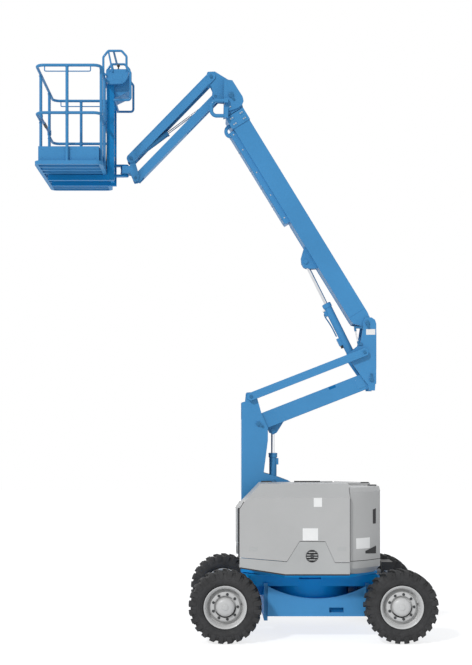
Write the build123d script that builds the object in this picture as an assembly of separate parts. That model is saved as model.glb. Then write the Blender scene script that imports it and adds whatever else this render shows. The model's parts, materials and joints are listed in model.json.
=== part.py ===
from build123d import *
import math
import os

# Articulating boom lift with jib: a rough-terrain machine of the 34 ft class.
# Millimetres, +Z up, +X toward the counterweight, -X toward the platform, -Y the left side.
# The ground is z = 0. Sizes are written about the turntable's axis, and the written parts are
# moved along x so that the origin is midway along the machine.

os.makedirs("parts", exist_ok=True)

# ---------------------------------------------------------------- driving sizes
WHEELBASE = 1880
WIDTH = 1850                      # over the tyres
TYRE_D, TYRE_W = 785, 264
RIM_D = 440
FIT = 0.05                        # radial running fit of a pin in its bore
SKIN = 6                          # gap between faces that pass each other
PLATE = 15                        # thickness of the boom's side plates

# Side view points of the linkage, (x, z).
RISER_FOOT = (-560, 2350)         # lower arm on the tower
TIE_FOOT = (-642, 2654)           # tie link on the tower
RISER_HEAD = (714, 2848)          # lower arm on the mid knuckle
BOOM_PIVOT = (666, 3486)          # primary boom on the mid knuckle
BOOM_ANGLE = 58.5                 # above the horizontal, toward -X
BOOM_REACH = 2987                 # boom pivot to bell crank pivot, along the boom
NOSE_LIFT = 35                    # bell crank pivot above the line of the boom pivot
JIB_HEAD = (-1091, 6277)          # jib upper arm on the bell crank
JIB_LEG = (52, -220)              # from the jib's upper pins to its lower pins
JIB_ANGLE = 45.7                  # below the horizontal, toward -X
JIB_LENGTH = 1294
RISER_CYL_FOOT = (-386, 1700)
RISER_CYL_HEAD = (-386, 2270)
LIFT_CYL_FOOT = (525, 3097)
LIFT_CYL_HEAD = (-17, 4187)

# Platform.
PLAT_X0, PLAT_X1 = -3000, -2262
PLAT_HALF = 725                   # to the rails' outer side
FLOOR_Z = 5165
RAIL_Z = 6216                     # axis of the top rail
MID_RAIL_Z = 5703
RAIL_R = 16
TOE_H = 180
ROTATE_X = -2062                  # axis of the platform's rotator
MAST_X, MAST_HALF = -2217, 39
MAST_IN, MAST_OUT = 130, 180      # inner and outer sides of its uprights
MAST_Z0, MAST_Z1 = 5085, 6290
PIVOT_PLATE_HALF = 34
RAIL_INSET, RAIL_BEND = 6, 80
TOE_T = 4
TOE_INSET = RAIL_INSET + 2 * RAIL_R + 3          # toe-boards stand inside the posts
FLOOR_ROUND = 80
RIB_YS = (-560, -400, -250, 0, 250, 400, 560)

# Turntable.
DECK_Z0, DECK_Z1 = 700, 730
COVER_X0, COVER_X1 = -787, 388
COVER_Y = 870                     # outer side of the covers
COVER_IN = 300                    # inner side of the covers
COVER_T = 10
LEFT_TOP, RIGHT_TOP = 1700, 1600
TAIL_R = 920                      # the tail sweeps inside the tyres' width
TAIL_X1 = 760
CORE_TOP = 1280                   # cast block under the tail cover
TAIL_BEVEL = 45
TOWER_HALF = 150                  # outer side of the tower's plates
TOWER_X0 = -745

# Chassis.
FRAME_Z0, FRAME_Z1 = 245, 440
SIDE_TOP = 575                    # ends of the side plates' dipped edge
FRAME_HALF = 560
DRUM_R = 470
HUB_Z = TYRE_D / 2
AXLE_X = WHEELBASE / 2
TYRE_IN = WIDTH / 2 - TYRE_W      # inner side of the tyres
LUGS = 24
KINGPIN_Y = 560

BULK_T, BULK_HALF = 38, 505       # end bulkheads of the frame, clear of the steered tyres
BELLY_X0, BELLY_X1 = -472, 600
NECK_X, NECK_HALF, NECK_TOP = 1010, 270, 600
MANIFOLD_TOP = 738                # below the sweep of the turntable's corners
TOP_X, TOP_HALF, TOP_Z0, TOP_Z1 = 742, 455, 560, 690       # frame around the drum, inside the steered tyres
AXLE_TOP = 440
YOKE_IN, YOKE_R = 455, 50
ROD_X = -AXLE_X + 150             # steering rod, behind the front axle
ARM_Y = 540
STEER_ROD_R = 16
WHEEL_Y = WIDTH / 2 - TYRE_W / 2
SPINDLE_R, SPINDLE_END = 45, 70
LUG_Y, LUG_Z, LUG_BORE_R = 180, 515, 20          # tie-down lugs
LUG_GAP, LUG_T = 40, 24

# Wheel, about its own centre: half widths and radii.
LUG_HALF, LUG_ROOT = 19, 45       # tread lugs: half length around the tyre, depth of the root
BEAD_R, BEAD_Y = RIM_D / 2, 100
DISC_Y = 44
TYRE_SECTION = [(-BEAD_Y, BEAD_R), (-BEAD_Y, 232), (-TYRE_W / 2, 262), (-TYRE_W / 2, 322), (-112, 358),
                (-90, 366), (90, 366), (112, 358), (TYRE_W / 2, 322), (TYRE_W / 2, 262), (BEAD_Y, 232),
                (BEAD_Y, BEAD_R)]

# Lower edge of the covers and the sills below it, (x, z).
SILL_EDGE = [(COVER_X0, 915), (-282, 873), (-147, 1090), (127, 1086), (229, 862), (COVER_X1, 862)]
SILL_BEND_X, SILL_FRONT_Z = -300, 805
FLANGE_IN = 600
VENT, VENT_R = (-15, 935), 64
SHOULDER_H, SHOULDER_W = 140, 120
HINGE_XS, HINGE_Y = (-520, -260), 280            # cover hinges beside the tower
HINGE_DROP, HINGE_R = 26, 8       # hinge axis below the cover's top, pin radius
TAIL_SEAM, TAIL_TOP = 875, 1660
BAY_IN, BAY_OUT = 390, 795         # engine and tanks, inside the covers
ENGINE_X1, ENGINE_TOP = 300, 1250
TANK_X0, TANK_MID, TANK_TOP = -620, -90, 1330
CORE_INSET = 40                   # cast block inside the tail cover
FOOT_CHAMFER = 65                 # clears the steered tyres as the tail swings past

# Widths of the linkage layers, from the middle of the machine.
TIE_IN, TIE_OUT, TIE_H = 160, 200, 88
BOOM_HALF, BOOM_WALL, BOOM_LOW, BOOM_HIGH = 125, 8, -137, 68
BOOM_END, COLLAR_U = 2798, 2650
EXT_HALF, EXT_LOW, EXT_HIGH, EXT_TAIL = 108, -120, 50, 1250
NOSE_IN, NOSE_OUT, NOSE_PIN_R = 128, 143, 30
JIB_LOW_IN, JIB_PLATE_IN, JIB_PLATE_OUT, JIB_OUT = 50, 62, 74, 85
JIB_SLOT_END = 520                # how far the slot in the lower arm's web runs
LUG_IN = 32                       # inner side of the lugs beside a cylinder's rod eye
RISER_BARREL_L, RISER_PISTON_L = 312, 418
RISER_ROD_R, LIFT_ROD_R, JIB_ROD_R = 21, 20, 14
ROT_Z0, ROT_Z1 = 5185, 5268
POST_X = -2645
ANCHOR_Y, ANCHOR_Z, ANCHOR_R = 75, 5375, 14      # lanyard anchor holes
ENTRY_HALF = 350
SLEEVE_H = 54
GUARD_R = 13
GUARD_Z0, GUARD_Z1 = 5965, 6515     # lowest and highest tube of the console's guard
CONSOLE_Z1, CONSOLE_X1, CONSOLE_HALF, CONSOLE_BASE = 6316, -2003, 230, 150

# Pins.
PIN_R = 25
SMALL_PIN_R = 18


# ---------------------------------------------------------------- small shapes
def block(x0, x1, y0, y1, z0, z1):
    """A box between two corners."""
    return Pos((x0 + x1) / 2, (y0 + y1) / 2, (z0 + z1) / 2) * Box(x1 - x0, y1 - y0, z1 - z0)


def side_plate(points, y0, y1):
    """A side view outline of (x, z) points, made solid from y0 to y1."""
    outline = make_face(Polyline(*[(x, y1, z) for x, z in points], close=True))
    return extrude(outline, amount=y1 - y0, dir=(0, -1, 0))


def plan_plate(points, z0, z1):
    """A plan outline of (x, y) points, made solid from z0 to z1."""
    outline = make_face(Polyline(*[(x, y, z0) for x, y in points], close=True))
    return extrude(outline, amount=z1 - z0, dir=(0, 0, 1))


def rod(p, q, r):
    """A round bar from p to q."""
    a, b = Vector(*p), Vector(*q)
    plane = Plane(origin=(a + b) / 2, z_dir=b - a)
    return plane * Cylinder(r, (b - a).length)


def pin_y(point, r, y0, y1):
    """A round bar along y through a side view point."""
    return rod((point[0], y0, point[1]), (point[0], y1, point[1]), r)


def both(shape):
    """The shape and its mirror image on the other side of the machine."""
    return shape + shape.mirror(Plane.XZ)


def along(start, angle, u, n):
    """Side view point u along a direction and n to its upper side; the direction points to -X."""
    a = math.radians(angle)
    return (start[0] - u * math.cos(a) + n * math.sin(a), start[1] + u * math.sin(a) + n * math.cos(a))


def group(*shapes):
    """Shapes kept as separate solids of one node, touching face to face."""
    return Compound([solid for shape in shapes for solid in shape.solids()])


def shifted(point, dx, dz):
    return (point[0] + dx, point[1] + dz)


def beam(start, angle, u0, u1, n0, n1, y0, y1):
    """A straight bar with a box section, along a direction from a side view point."""
    corners = [(u0, n0), (u1, n0), (u1, n1), (u0, n1)]
    return side_plate([along(start, angle, u, n) for u, n in corners], y0, y1)


def tube_beam(start, angle, u0, u1, n0, n1, half, wall):
    """A box-section tube, open at both ends."""
    outer = beam(start, angle, u0, u1, n0, n1, -half, half)
    return outer - beam(start, angle, u0 - 1, u1 + 1, n0 + wall, n1 - wall, -half + wall, half - wall)


def bent_tube(points, y, r, bend):
    """A round tube along straight side view runs with round corners, in the plane at y."""
    path = FilletPolyline(*[(x, y, z) for x, z in points], radius=bend)
    return sweep(Plane(origin=path @ 0, z_dir=path % 0) * Circle(r), path=path)


def direction(p, q):
    """Angle above the horizontal of the line from p to q, for a line that points to -X."""
    return math.degrees(math.atan2(q[1] - p[1], p[0] - q[0]))


def reach(p, q):
    return math.hypot(q[0] - p[0], q[1] - p[1])


NOSE = along(BOOM_PIVOT, BOOM_ANGLE, BOOM_REACH, NOSE_LIFT)
JIB_FOOT = along(JIB_HEAD, -JIB_ANGLE, JIB_LENGTH, 0)
JIB_LOW_HEAD = shifted(JIB_HEAD, *JIB_LEG)
JIB_LOW_FOOT = shifted(JIB_FOOT, *JIB_LEG)
TIE_HEAD = (RISER_HEAD[0] + TIE_FOOT[0] - RISER_FOOT[0], RISER_HEAD[1] + TIE_FOOT[1] - RISER_FOOT[1])


# ---------------------------------------------------------------- chassis
def chassis_frame():
    """Welded frame: belly box, end bulkheads, necks over the axles, drum surround and tie-down lugs."""
    body = block(BELLY_X0, BELLY_X1, -FRAME_HALF, FRAME_HALF, FRAME_Z0, FRAME_Z1)
    for x0, x1 in ((-430, -160), (-130, 130), (160, 430)):
        body -= block(x0, x1, -FRAME_HALF + 60, FRAME_HALF - 60, FRAME_Z0 - 1, FRAME_Z1 - 60)
    for side in (-1, 1):
        y0, y1 = sorted((side * (FRAME_HALF - 45), side * (FRAME_HALF + 1)))
        body -= block(199, 356, y0, y1, 287, 341)
    for end, x, z0 in ((-1, BELLY_X0, 190), (1, BELLY_X1, FRAME_Z0)):
        x0, x1 = sorted((x - end, x + end * BULK_T))
        body += block(x0, x1, -BULK_HALF, BULK_HALF, z0, NECK_TOP)
        x0, x1 = sorted((x, end * NECK_X))
        body += block(x0, x1, -NECK_HALF, NECK_HALF, AXLE_TOP, NECK_TOP)
        for y in (-LUG_Y, LUG_Y):
            x0, x1 = sorted((end * (NECK_X + LUG_GAP), end * (NECK_X + LUG_GAP + LUG_T)))
            lug = block(x0, x1, y - 50, y + 50, LUG_Z - 55, LUG_Z + 55)
            body += lug - rod((x0 - 1, y, LUG_Z), (x1 + 1, y, LUG_Z), LUG_BORE_R)
            x0, x1 = sorted((end * (NECK_X - 1), end * (NECK_X + LUG_GAP + 1)))
            for web_y in (y - 43, y + 43):
                body += block(x0, x1, web_y - 7, web_y + 7, LUG_Z - 50, LUG_Z + 50)
    body += block(-TOP_X, TOP_X, -TOP_HALF, TOP_HALF, TOP_Z0, TOP_Z1) - Cylinder(DRUM_R + 0.3, 4 * TOP_Z1)
    # Side plates whose upper edge dips in an arc below the turntable.
    middle, chord, dip = (BELLY_X0 + BELLY_X1) / 2, (BELLY_X1 - BELLY_X0) / 2, SIDE_TOP - FRAME_Z1
    arc_r = (chord ** 2 + dip ** 2) / (2 * dip)
    side = block(BELLY_X0, BELLY_X1, FRAME_HALF - 15, FRAME_HALF, FRAME_Z1, SIDE_TOP)
    side -= pin_y((middle, FRAME_Z1 + arc_r), arc_r, FRAME_HALF - 16, FRAME_HALF + 1)
    return body + both(side)


def manifold_box():
    """Closed box for the drive valves, on a bracket above the rear axle."""
    x, z = AXLE_X - 40, NECK_TOP + 40
    body = block(x, x + 130, NECK_HALF + 60, TYRE_IN - 40, z, MANIFOLD_TOP)
    return body + block(x, x + 25, NECK_HALF - 60, NECK_HALF + 150, NECK_TOP, z + 1)


def slew_ring():
    """The drum that carries the turntable, with its bearing ring."""
    drum = Pos(0, 0, (FRAME_Z1 + 640) / 2) * Cylinder(DRUM_R, 640 - FRAME_Z1)
    bearing = Pos(0, 0, (640 + DECK_Z0 - 0.5) / 2) * Cylinder(DRUM_R - 40, DECK_Z0 - 0.5 - 640)
    well = Pos(0, 0, 570) * Cylinder(DRUM_R - 110, 2 * (570 - FRAME_Z1) + 200)
    return drum + bearing - (well & block(-DRUM_R, DRUM_R, -DRUM_R, DRUM_R, FRAME_Z1 - 1, DECK_Z0 + 1))


def steer_axle():
    """Front beam with a yoke at each end for the kingpins."""
    x = -AXLE_X
    beam_box = block(x - 60, x + 60, -YOKE_IN, YOKE_IN, HUB_Z - 60, AXLE_TOP)
    arms = Part()
    for z0, z1 in ((HUB_Z - 85, HUB_Z - 60), (AXLE_TOP, AXLE_TOP + 25)):
        arm = block(x - YOKE_R, x + YOKE_R, YOKE_IN - 60, KINGPIN_Y, z0, z1)
        arm += rod((x, KINGPIN_Y, z0), (x, KINGPIN_Y, z1), YOKE_R)
        arms += arm - rod((x, KINGPIN_Y, z0 - 1), (x, KINGPIN_Y, z1 + 1), PIN_R + FIT)
    bracket = block(x + 60, ROD_X + 20, -120, -90, HUB_Z - 50, HUB_Z + 30)
    bracket += block(x + 60, ROD_X + 20, 90, 120, HUB_Z - 50, HUB_Z + 30)
    bracket -= rod((ROD_X, -130, HUB_Z - 10), (ROD_X, 130, HUB_Z - 10), 38)
    return beam_box + both(arms) + bracket


def steer_cylinder():
    """Double-ended steering cylinder, clamped to the front beam."""
    shell = rod((ROD_X, -190, HUB_Z - 10), (ROD_X, 190, HUB_Z - 10), 38)
    return shell - rod((ROD_X, -191, HUB_Z - 10), (ROD_X, 191, HUB_Z - 10), STEER_ROD_R + FIT)


def steer_rod():
    """Rod through the steering cylinder, with an eye at each steering arm."""
    bar = rod((ROD_X, -ARM_Y, HUB_Z - 10), (ROD_X, ARM_Y, HUB_Z - 10), STEER_ROD_R)
    for y in (-ARM_Y, ARM_Y):
        eye = rod((ROD_X, y, HUB_Z - 28), (ROD_X, y, HUB_Z + 8), 30)
        bar += eye
    return bar


def steer_knuckle(side):
    """Kingpin, stub axle and steering arm of one front wheel."""
    x = -AXLE_X
    body = block(x - 38, x + 38, KINGPIN_Y - 38, KINGPIN_Y + 45, HUB_Z - 54, AXLE_TOP - SKIN)
    body += rod((x, KINGPIN_Y, HUB_Z - 85), (x, KINGPIN_Y, AXLE_TOP + 25), PIN_R)
    body += rod((x, KINGPIN_Y, HUB_Z), (x, WHEEL_Y + SPINDLE_END, HUB_Z), SPINDLE_R)
    body += rod((x, KINGPIN_Y + 62, HUB_Z), (x, WHEEL_Y - 60, HUB_Z), SPINDLE_R + 25)
    arm = block(x + 20, ROD_X + 25, ARM_Y - 18, ARM_Y + 18, HUB_Z + 14, HUB_Z + 34)
    arm += rod((ROD_X, ARM_Y, HUB_Z + 14), (ROD_X, ARM_Y, HUB_Z + 46), 20)
    body += arm
    return body if side > 0 else body.mirror(Plane.XZ)


def drive_axle():
    """Rear beam with a geared hub housing and a spindle at each end."""
    x = AXLE_X
    body = block(x - 60, x + 60, -560, 560, HUB_Z - 60, AXLE_TOP)
    half = rod((x, 550, HUB_Z), (x, WHEEL_Y - 60, HUB_Z), 95)
    half += rod((x, 600, HUB_Z), (x, WHEEL_Y + SPINDLE_END, HUB_Z), SPINDLE_R)
    body += rod((x - 110, 0, HUB_Z - 45), (x + 60, 0, HUB_Z - 45), 85)
    return body + both(half)


def tyre():
    """Tyre about the y axis at the origin, its outer side toward +Y."""
    ring = Polyline(*[(y, r) for y, r in TYRE_SECTION], close=True)
    carcass = revolve(Plane.YZ * make_face(ring), axis=Axis.Y)
    pitch = 360 / LUGS
    top, half = TYRE_D / 2, TYRE_W / 2
    face = make_face(Polyline(*[(-LUG_HALF, y, r) for y, r in (
        (10, top - LUG_ROOT), (10, top), (half - 22, top), (half, top - 20),
        (half, top - LUG_ROOT - 12))], close=True))
    lug = extrude(face, amount=2 * LUG_HALF, dir=(1, 0, 0))
    lugs = Part()
    for i in range(LUGS):
        lugs += Rot(0, i * pitch, 0) * lug
        lugs += Rot(0, (i + 0.5) * pitch, 0) * lug.mirror(Plane.XZ)
    return carcass + lugs


def rim():
    """Wheel disc, barrel and capped hub about the y axis at the origin, outer side toward +Y."""
    barrel = Rot(90, 0, 0) * (Cylinder(BEAD_R - 0.3, 2 * BEAD_Y + 10) - Cylinder(BEAD_R - 14, 2 * BEAD_Y + 12))
    for y in (-BEAD_Y - 5, BEAD_Y + 5):
        barrel += Pos(0, y, 0) * Rot(90, 0, 0) * (Cylinder(RIM_D / 2 + 6, 9.4) - Cylinder(BEAD_R - 14, 11))
    disc = Pos(0, DISC_Y, 0) * Rot(90, 0, 0) * Cylinder(BEAD_R - 10, 14)
    for i in range(8):
        hole = Pos(0, DISC_Y, 0) * Rot(0, (i + 0.5) * 45, 0) * Pos(0, 0, 168) * Rot(90, 0, 0) * Cylinder(19, 30)
        disc -= hole
    hub = rod((0, DISC_Y - 70, 0), (0, DISC_Y + 50, 0), 78)
    hub += rod((0, DISC_Y + 50, 0), (0, DISC_Y + 68, 0), 52)
    body = barrel + disc + hub
    for i in range(8):
        a = math.radians(45 * i)
        x, z = 120 * math.cos(a), 120 * math.sin(a)
        body += rod((x, DISC_Y, z), (x, DISC_Y + 26, z), 14)
    return body - rod((0, DISC_Y - 71, 0), (0, SPINDLE_END + 4, 0), SPINDLE_R + FIT)


def at_wheel(shape, end, side):
    """A wheel piece moved to its corner, outer side out."""
    turned = shape if side > 0 else shape.mirror(Plane.XZ)
    return Pos(end * AXLE_X, side * WHEEL_Y, HUB_Z) * turned


# ---------------------------------------------------------------- turntable
def turntable_deck():
    """Floor plate of the turntable, inside the sweep of the tyres."""
    half = [(TOWER_X0, -300), (-450, -620), (-300, -800), (COVER_X1, -800), (TAIL_X1 - 20, -420)]
    outline = half + [(x, -y) for x, y in reversed(half)]
    deck = plan_plate(outline, DECK_Z0, DECK_Z1)
    return deck - Cylinder(200, 3 * DECK_Z1)


def riser_tower():
    """Upright weldment that carries the riser: two side plates, webs and fixed pins."""
    outline = [
        (TOWER_X0, DECK_Z1),
        (TOWER_X0, 2588),
        (-700, 2600),
        (-690, 2700),
        (-600, 2705),
        (-571, 2640),
        (-526, 2475),
        (-450, 2300),
        (-450, 2164),
        (-497, 1795),
        (-345, 1752),
        (-200, 1698),
        (-200, DECK_Z1),
    ]
    body = both(side_plate(outline, TOWER_HALF - PLATE, TOWER_HALF))
    inner = TOWER_HALF - PLATE
    body += block(TOWER_X0, TOWER_X0 + 12, -inner, inner, DECK_Z1, 2400)
    body += block(-460, -448, -inner, inner, DECK_Z1, 1640)
    body += block(-212, -200, -inner, inner, DECK_Z1, 1560)
    for side, top in ((-1, LEFT_TOP), (1, RIGHT_TOP)):
        z = top - HINGE_DROP
        for x in HINGE_XS:
            y0, y1 = sorted((side * TOWER_HALF, side * (HINGE_Y + HINGE_R)))
            body += block(x + 17, x + 29, y0, y1, z - 60, z + HINGE_R)
            body += rod((x - 17, side * HINGE_Y, z), (x + 18, side * HINGE_Y, z), HINGE_R)
    body += pin_y(RISER_FOOT, PIN_R, -TOWER_HALF - 12, TOWER_HALF + 12)
    body += both(pin_y(TIE_FOOT, SMALL_PIN_R, inner, TIE_OUT + 8))
    body += pin_y(RISER_CYL_FOOT, PIN_R, -TOWER_HALF - 12, TOWER_HALF + 12)
    return body


def cover_shell(outline, top, y_in):
    """A hooded side cover on the -Y side, open inward and downward."""
    def hood(t):
        """The hood's solid form, t inside its outer skin."""
        section = [
            (-COVER_Y + t, 600),
            (-COVER_Y + t, top - SHOULDER_H - t * 0.4),
            (-COVER_Y + SHOULDER_W + t * 0.6, top - t),
            (-y_in + t, top - t),
            (-y_in + t, 600),
        ]
        face = make_face(Polyline(*[(COVER_X0 + t, y, z) for y, z in section], close=True))
        return extrude(face, amount=COVER_X1 - COVER_X0 - 2 * t, dir=(1, 0, 0))
    trim = side_plate(outline, -COVER_Y - 1, 0)
    hinge_z = top - HINGE_DROP
    lugs = Part()
    for x in HINGE_XS:
        eye = block(x - 15, x + 15, -y_in - 40, -HINGE_Y, hinge_z - 14, top - COVER_T + 2)
        eye += rod((x - 15, -HINGE_Y, hinge_z), (x + 15, -HINGE_Y, hinge_z), 14)
        lugs += eye - rod((x - 16, -HINGE_Y, hinge_z), (x + 16, -HINGE_Y, hinge_z), HINGE_R + FIT)
    corner = side_plate(
        [(COVER_X0 - 5, 600), (COVER_X0 - 5, top - 245), (-553, top + 5), (COVER_X1, top + 5), (COVER_X1, 600)],
        -COVER_Y - 1, 0)
    inside = [
        (COVER_X0 + COVER_T, 500),
        (COVER_X0 + COVER_T, top - 249),
        (-549, top - COVER_T),
        (COVER_X1 - COVER_T, top - COVER_T),
        (COVER_X1 - COVER_T, 500),
    ]
    hollow = hood(COVER_T) & side_plate(inside, -COVER_Y, 0)
    return (hood(0) & corner & trim) - hollow + lugs


def door_outline(top, gap):
    """Side view of a cover: its lower edge steps over the hump of the sill, gap above it."""
    edge = [(x, z + gap) for x, z in SILL_EDGE]
    return edge + [(COVER_X1 + 1, top + 10), (COVER_X0 - 1, top + 10)]


def cover_left():
    return cover_shell(door_outline(LEFT_TOP, SKIN), LEFT_TOP, COVER_IN)


def cover_right():
    return cover_shell(door_outline(RIGHT_TOP, SKIN), RIGHT_TOP, COVER_IN).mirror(Plane.XZ)


def sill_left():
    """Fixed lower panel of the near side: a skirt with a hump, a round vent and a floor flange."""
    lower = [(COVER_X1, DECK_Z1), (SILL_BEND_X, DECK_Z1), (COVER_X0, SILL_FRONT_Z)]
    skirt = side_plate(SILL_EDGE + lower, -COVER_Y, -COVER_Y + COVER_T)
    skirt -= pin_y(VENT, VENT_R, -COVER_Y - 1, -COVER_Y + COVER_T + 1)
    for dz in (-40, -13, 13, 40):
        w = math.sqrt(VENT_R ** 2 - dz ** 2) + 4
        x, z = VENT[0], VENT[1] + dz
        skirt += block(x - w, x + w, -COVER_Y + 2, -COVER_Y + COVER_T - 1, z - 5, z + 5)
    flange = side_plate(
        [(COVER_X1, DECK_Z1), (COVER_X1, DECK_Z1 + 12), (SILL_BEND_X, DECK_Z1 + 12),
         (COVER_X0, SILL_FRONT_Z + 12), (COVER_X0, SILL_FRONT_Z), (SILL_BEND_X, DECK_Z1)],
        -COVER_Y, -FLANGE_IN)
    return skirt + flange


def sill_right():
    return sill_left().mirror(Plane.XZ)


def tail_outline(inset):
    """Plan of the tail: a straight back inside the round sweep of the turntable."""
    disc = Cylinder(TAIL_R - inset, 4 * TAIL_TOP)
    half = COVER_Y - inset
    return disc & block(COVER_X1 + SKIN + inset, TAIL_X1 - inset, -half, half, 0, 2 * TAIL_TOP)


def counterweight():
    """Cast weight: a full-width foot and a block under the tail cover."""
    z0, z1 = DECK_Z1, DECK_Z1 + FOOT_CHAMFER
    foot = tail_outline(0) & block(0, TAIL_X1, -TAIL_R, TAIL_R, z1, TAIL_SEAM)
    x0, x1 = COVER_X1 + SKIN, TAIL_X1
    cone = Pos(0, 0, (z0 + z1) / 2) * Cone(TAIL_R - FOOT_CHAMFER, TAIL_R, FOOT_CHAMFER)
    foot += cone & side_plate([(x0, z0), (x0, z1), (x1, z1), (x1 - FOOT_CHAMFER, z0)], -COVER_Y, COVER_Y)
    core = tail_outline(CORE_INSET) & block(0, TAIL_X1, -TAIL_R, TAIL_R, TAIL_SEAM - 1, CORE_TOP)
    return foot + core


def tail_cover():
    """Shell over the counterweight with a channel for the stowed booms."""
    r, bevel_z = TAIL_R, TAIL_TOP - TAIL_BEVEL
    body = tail_outline(0) & block(0, TAIL_X1, -r, r, TAIL_SEAM, bevel_z)
    body += tail_outline(0) & Pos(0, 0, TAIL_TOP - TAIL_BEVEL / 2) * Cone(r, r - TAIL_BEVEL, TAIL_BEVEL)
    body -= tail_outline(COVER_T) & block(0, TAIL_X1, -r, r, TAIL_SEAM - 1, bevel_z - SKIN)
    body -= block(0, r, -COVER_IN, COVER_IN, CORE_TOP + COVER_T, TAIL_TOP + 1)
    return body


def engine_block():
    body = block(SILL_BEND_X, ENGINE_X1, -BAY_OUT, -BAY_IN, DECK_Z1 + 12, ENGINE_TOP)
    y0, y1 = 80 - BAY_OUT, -80 - BAY_IN
    return body + block(SILL_BEND_X + 50, ENGINE_X1 / 2, y0, y1, ENGINE_TOP, ENGINE_TOP + 170)


def fuel_tank():
    """Tank with a sloped belly on two feet."""
    low = DECK_Z1 + 90
    x0, x1 = TANK_X0, TANK_MID - 40
    outline = [(x0, low + 80), (x0 + 170, low), (x1, low), (x1, TANK_TOP), (x0, TANK_TOP)]
    body = side_plate(outline, BAY_IN, BAY_OUT)
    for x in (x0 + 200, x1 - 30):
        body += block(x - 20, x + 20, BAY_IN + 20, BAY_IN + 160, DECK_Z1, low)
    return body


def hydraulic_tank():
    return block(TANK_MID, TANK_MID + 420, BAY_IN, BAY_OUT, DECK_Z1 + 12, TANK_TOP)


def ground_controls():
    """Control box on the tower's near plate, with a sloped face."""
    outline = [(-760, 1040), (-760, 1290), (-700, 1350), (-620, 1350), (-620, 1040)]
    return side_plate(outline, -290, -TOWER_HALF)


# ---------------------------------------------------------------- riser
RISER_ANGLE = direction(RISER_HEAD, RISER_FOOT)
RISER_LENGTH = reach(RISER_HEAD, RISER_FOOT)


def lower_arm():
    """Box arm of the riser with end bosses and the cylinder's lug."""
    half = TOWER_HALF - PLATE - 10
    body = tube_beam(RISER_HEAD, RISER_ANGLE, 55, RISER_LENGTH - 55, -82, 92, half, 8)
    body += beam(RISER_HEAD, RISER_ANGLE, 55, 63, -82, 92, -half, half)
    body += beam(RISER_HEAD, RISER_ANGLE, RISER_LENGTH - 63, RISER_LENGTH - 55, -82, 92, -half, half)
    for point, u0, u1 in ((RISER_HEAD, 0, 60), (RISER_FOOT, RISER_LENGTH - 60, RISER_LENGTH)):
        body += beam(RISER_HEAD, RISER_ANGLE, u0, u1, -38, 38, -half, half)
        body += pin_y(point, 38, -half, half)
    lug = [(-470, 2345), (-427, 2247), (-386, 2225), (-345, 2247), (-243, 2410), (-430, 2410)]
    body += both(side_plate(lug, LUG_IN, LUG_IN + 18) + pin_y(RISER_CYL_HEAD, PIN_R, LUG_IN + 18, LUG_IN + 30))
    for point in (RISER_HEAD, RISER_FOOT):
        body -= pin_y(point, PIN_R + FIT, -half - 1, half + 1)
    return body


def tie_link():
    """Pair of bars, one on each side, that keeps the mid knuckle upright."""
    angle, length = direction(TIE_HEAD, TIE_FOOT), reach(TIE_HEAD, TIE_FOOT)
    bar = beam(TIE_HEAD, angle, 0, length, -TIE_H / 2, TIE_H / 2, TIE_IN, TIE_OUT)
    for point in (TIE_HEAD, TIE_FOOT):
        bar += pin_y(point, TIE_H / 2, TIE_IN, TIE_OUT)
    for point in (TIE_HEAD, TIE_FOOT):
        bar -= pin_y(point, SMALL_PIN_R + FIT, TIE_IN - 1, TIE_OUT + 1)
    return both(bar)


def mid_knuckle():
    """Upright link between the riser and the primary boom: two plates, a back web and pins."""
    outline = [
        (770, 2797),
        (770, 3475),
        (755, 3520),
        (717, 3545),
        (650, 3545),
        (622, 3500),
        (620, 3440),
        (590, 3240),
        (485, 3160),
        (478, 3060),
        (623, 2850),
        (675, 2790),
        (689, 2722),
        (755, 2722),
        (760, 2797),
    ]
    half = TOWER_HALF - PLATE
    body = both(side_plate(outline, half, TOWER_HALF))
    body += block(756, 770, -half, half, 2960, 3380)
    for point, out in ((RISER_HEAD, 162), (BOOM_PIVOT, 162), (LIFT_CYL_FOOT, TOWER_HALF)):
        body += pin_y(point, PIN_R, -out, out)
    return body + pin_y(TIE_HEAD, SMALL_PIN_R, -TIE_OUT - 8, TIE_OUT + 8)


def barrel(foot, head, length, r, rod_r, half):
    """A cylinder's tube on its base eye, with a gland collar at its mouth."""
    f, h = Vector(foot[0], 0, foot[1]), Vector(head[0], 0, head[1])
    way = (h - f).normalized()
    body = rod(tuple(f + way * 30), tuple(f + way * length), r)
    body += rod(tuple(f + way * (length - 45)), tuple(f + way * length), r + 7)
    body += pin_y(foot, r * 0.95, -half, half)
    body += rod(tuple(f), tuple(f + way * 60), r * 0.7)
    body -= rod(tuple(f + way * 62), tuple(f + way * (length + 1)), rod_r + FIT)
    return body - pin_y(foot, PIN_R + FIT, -r, r)


def piston_rod(foot, head, length, rod_r):
    """A cylinder's rod, from its eye between the lugs at the head back into the tube."""
    f, h = Vector(foot[0], 0, foot[1]), Vector(head[0], 0, head[1])
    way = (f - h).normalized()
    return rod(tuple(h), tuple(h + way * length), rod_r) + pin_y(head, rod_r + 9, -LUG_IN + SKIN, LUG_IN - SKIN)


def riser_barrel():
    body = barrel(RISER_CYL_FOOT, RISER_CYL_HEAD, RISER_BARREL_L, 42, RISER_ROD_R, 26)
    x, z = RISER_CYL_FOOT
    return body + block(x + 30, x + 62, -22, 22, z + 185, z + 258)


def riser_rod():
    return piston_rod(RISER_CYL_FOOT, RISER_CYL_HEAD, RISER_PISTON_L, RISER_ROD_R)


# ---------------------------------------------------------------- primary boom
def in_boom(shape_points):
    """Side view points given along and above the boom's pivot line."""
    return [along(BOOM_PIVOT, BOOM_ANGLE, u, n) for u, n in shape_points]


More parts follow.
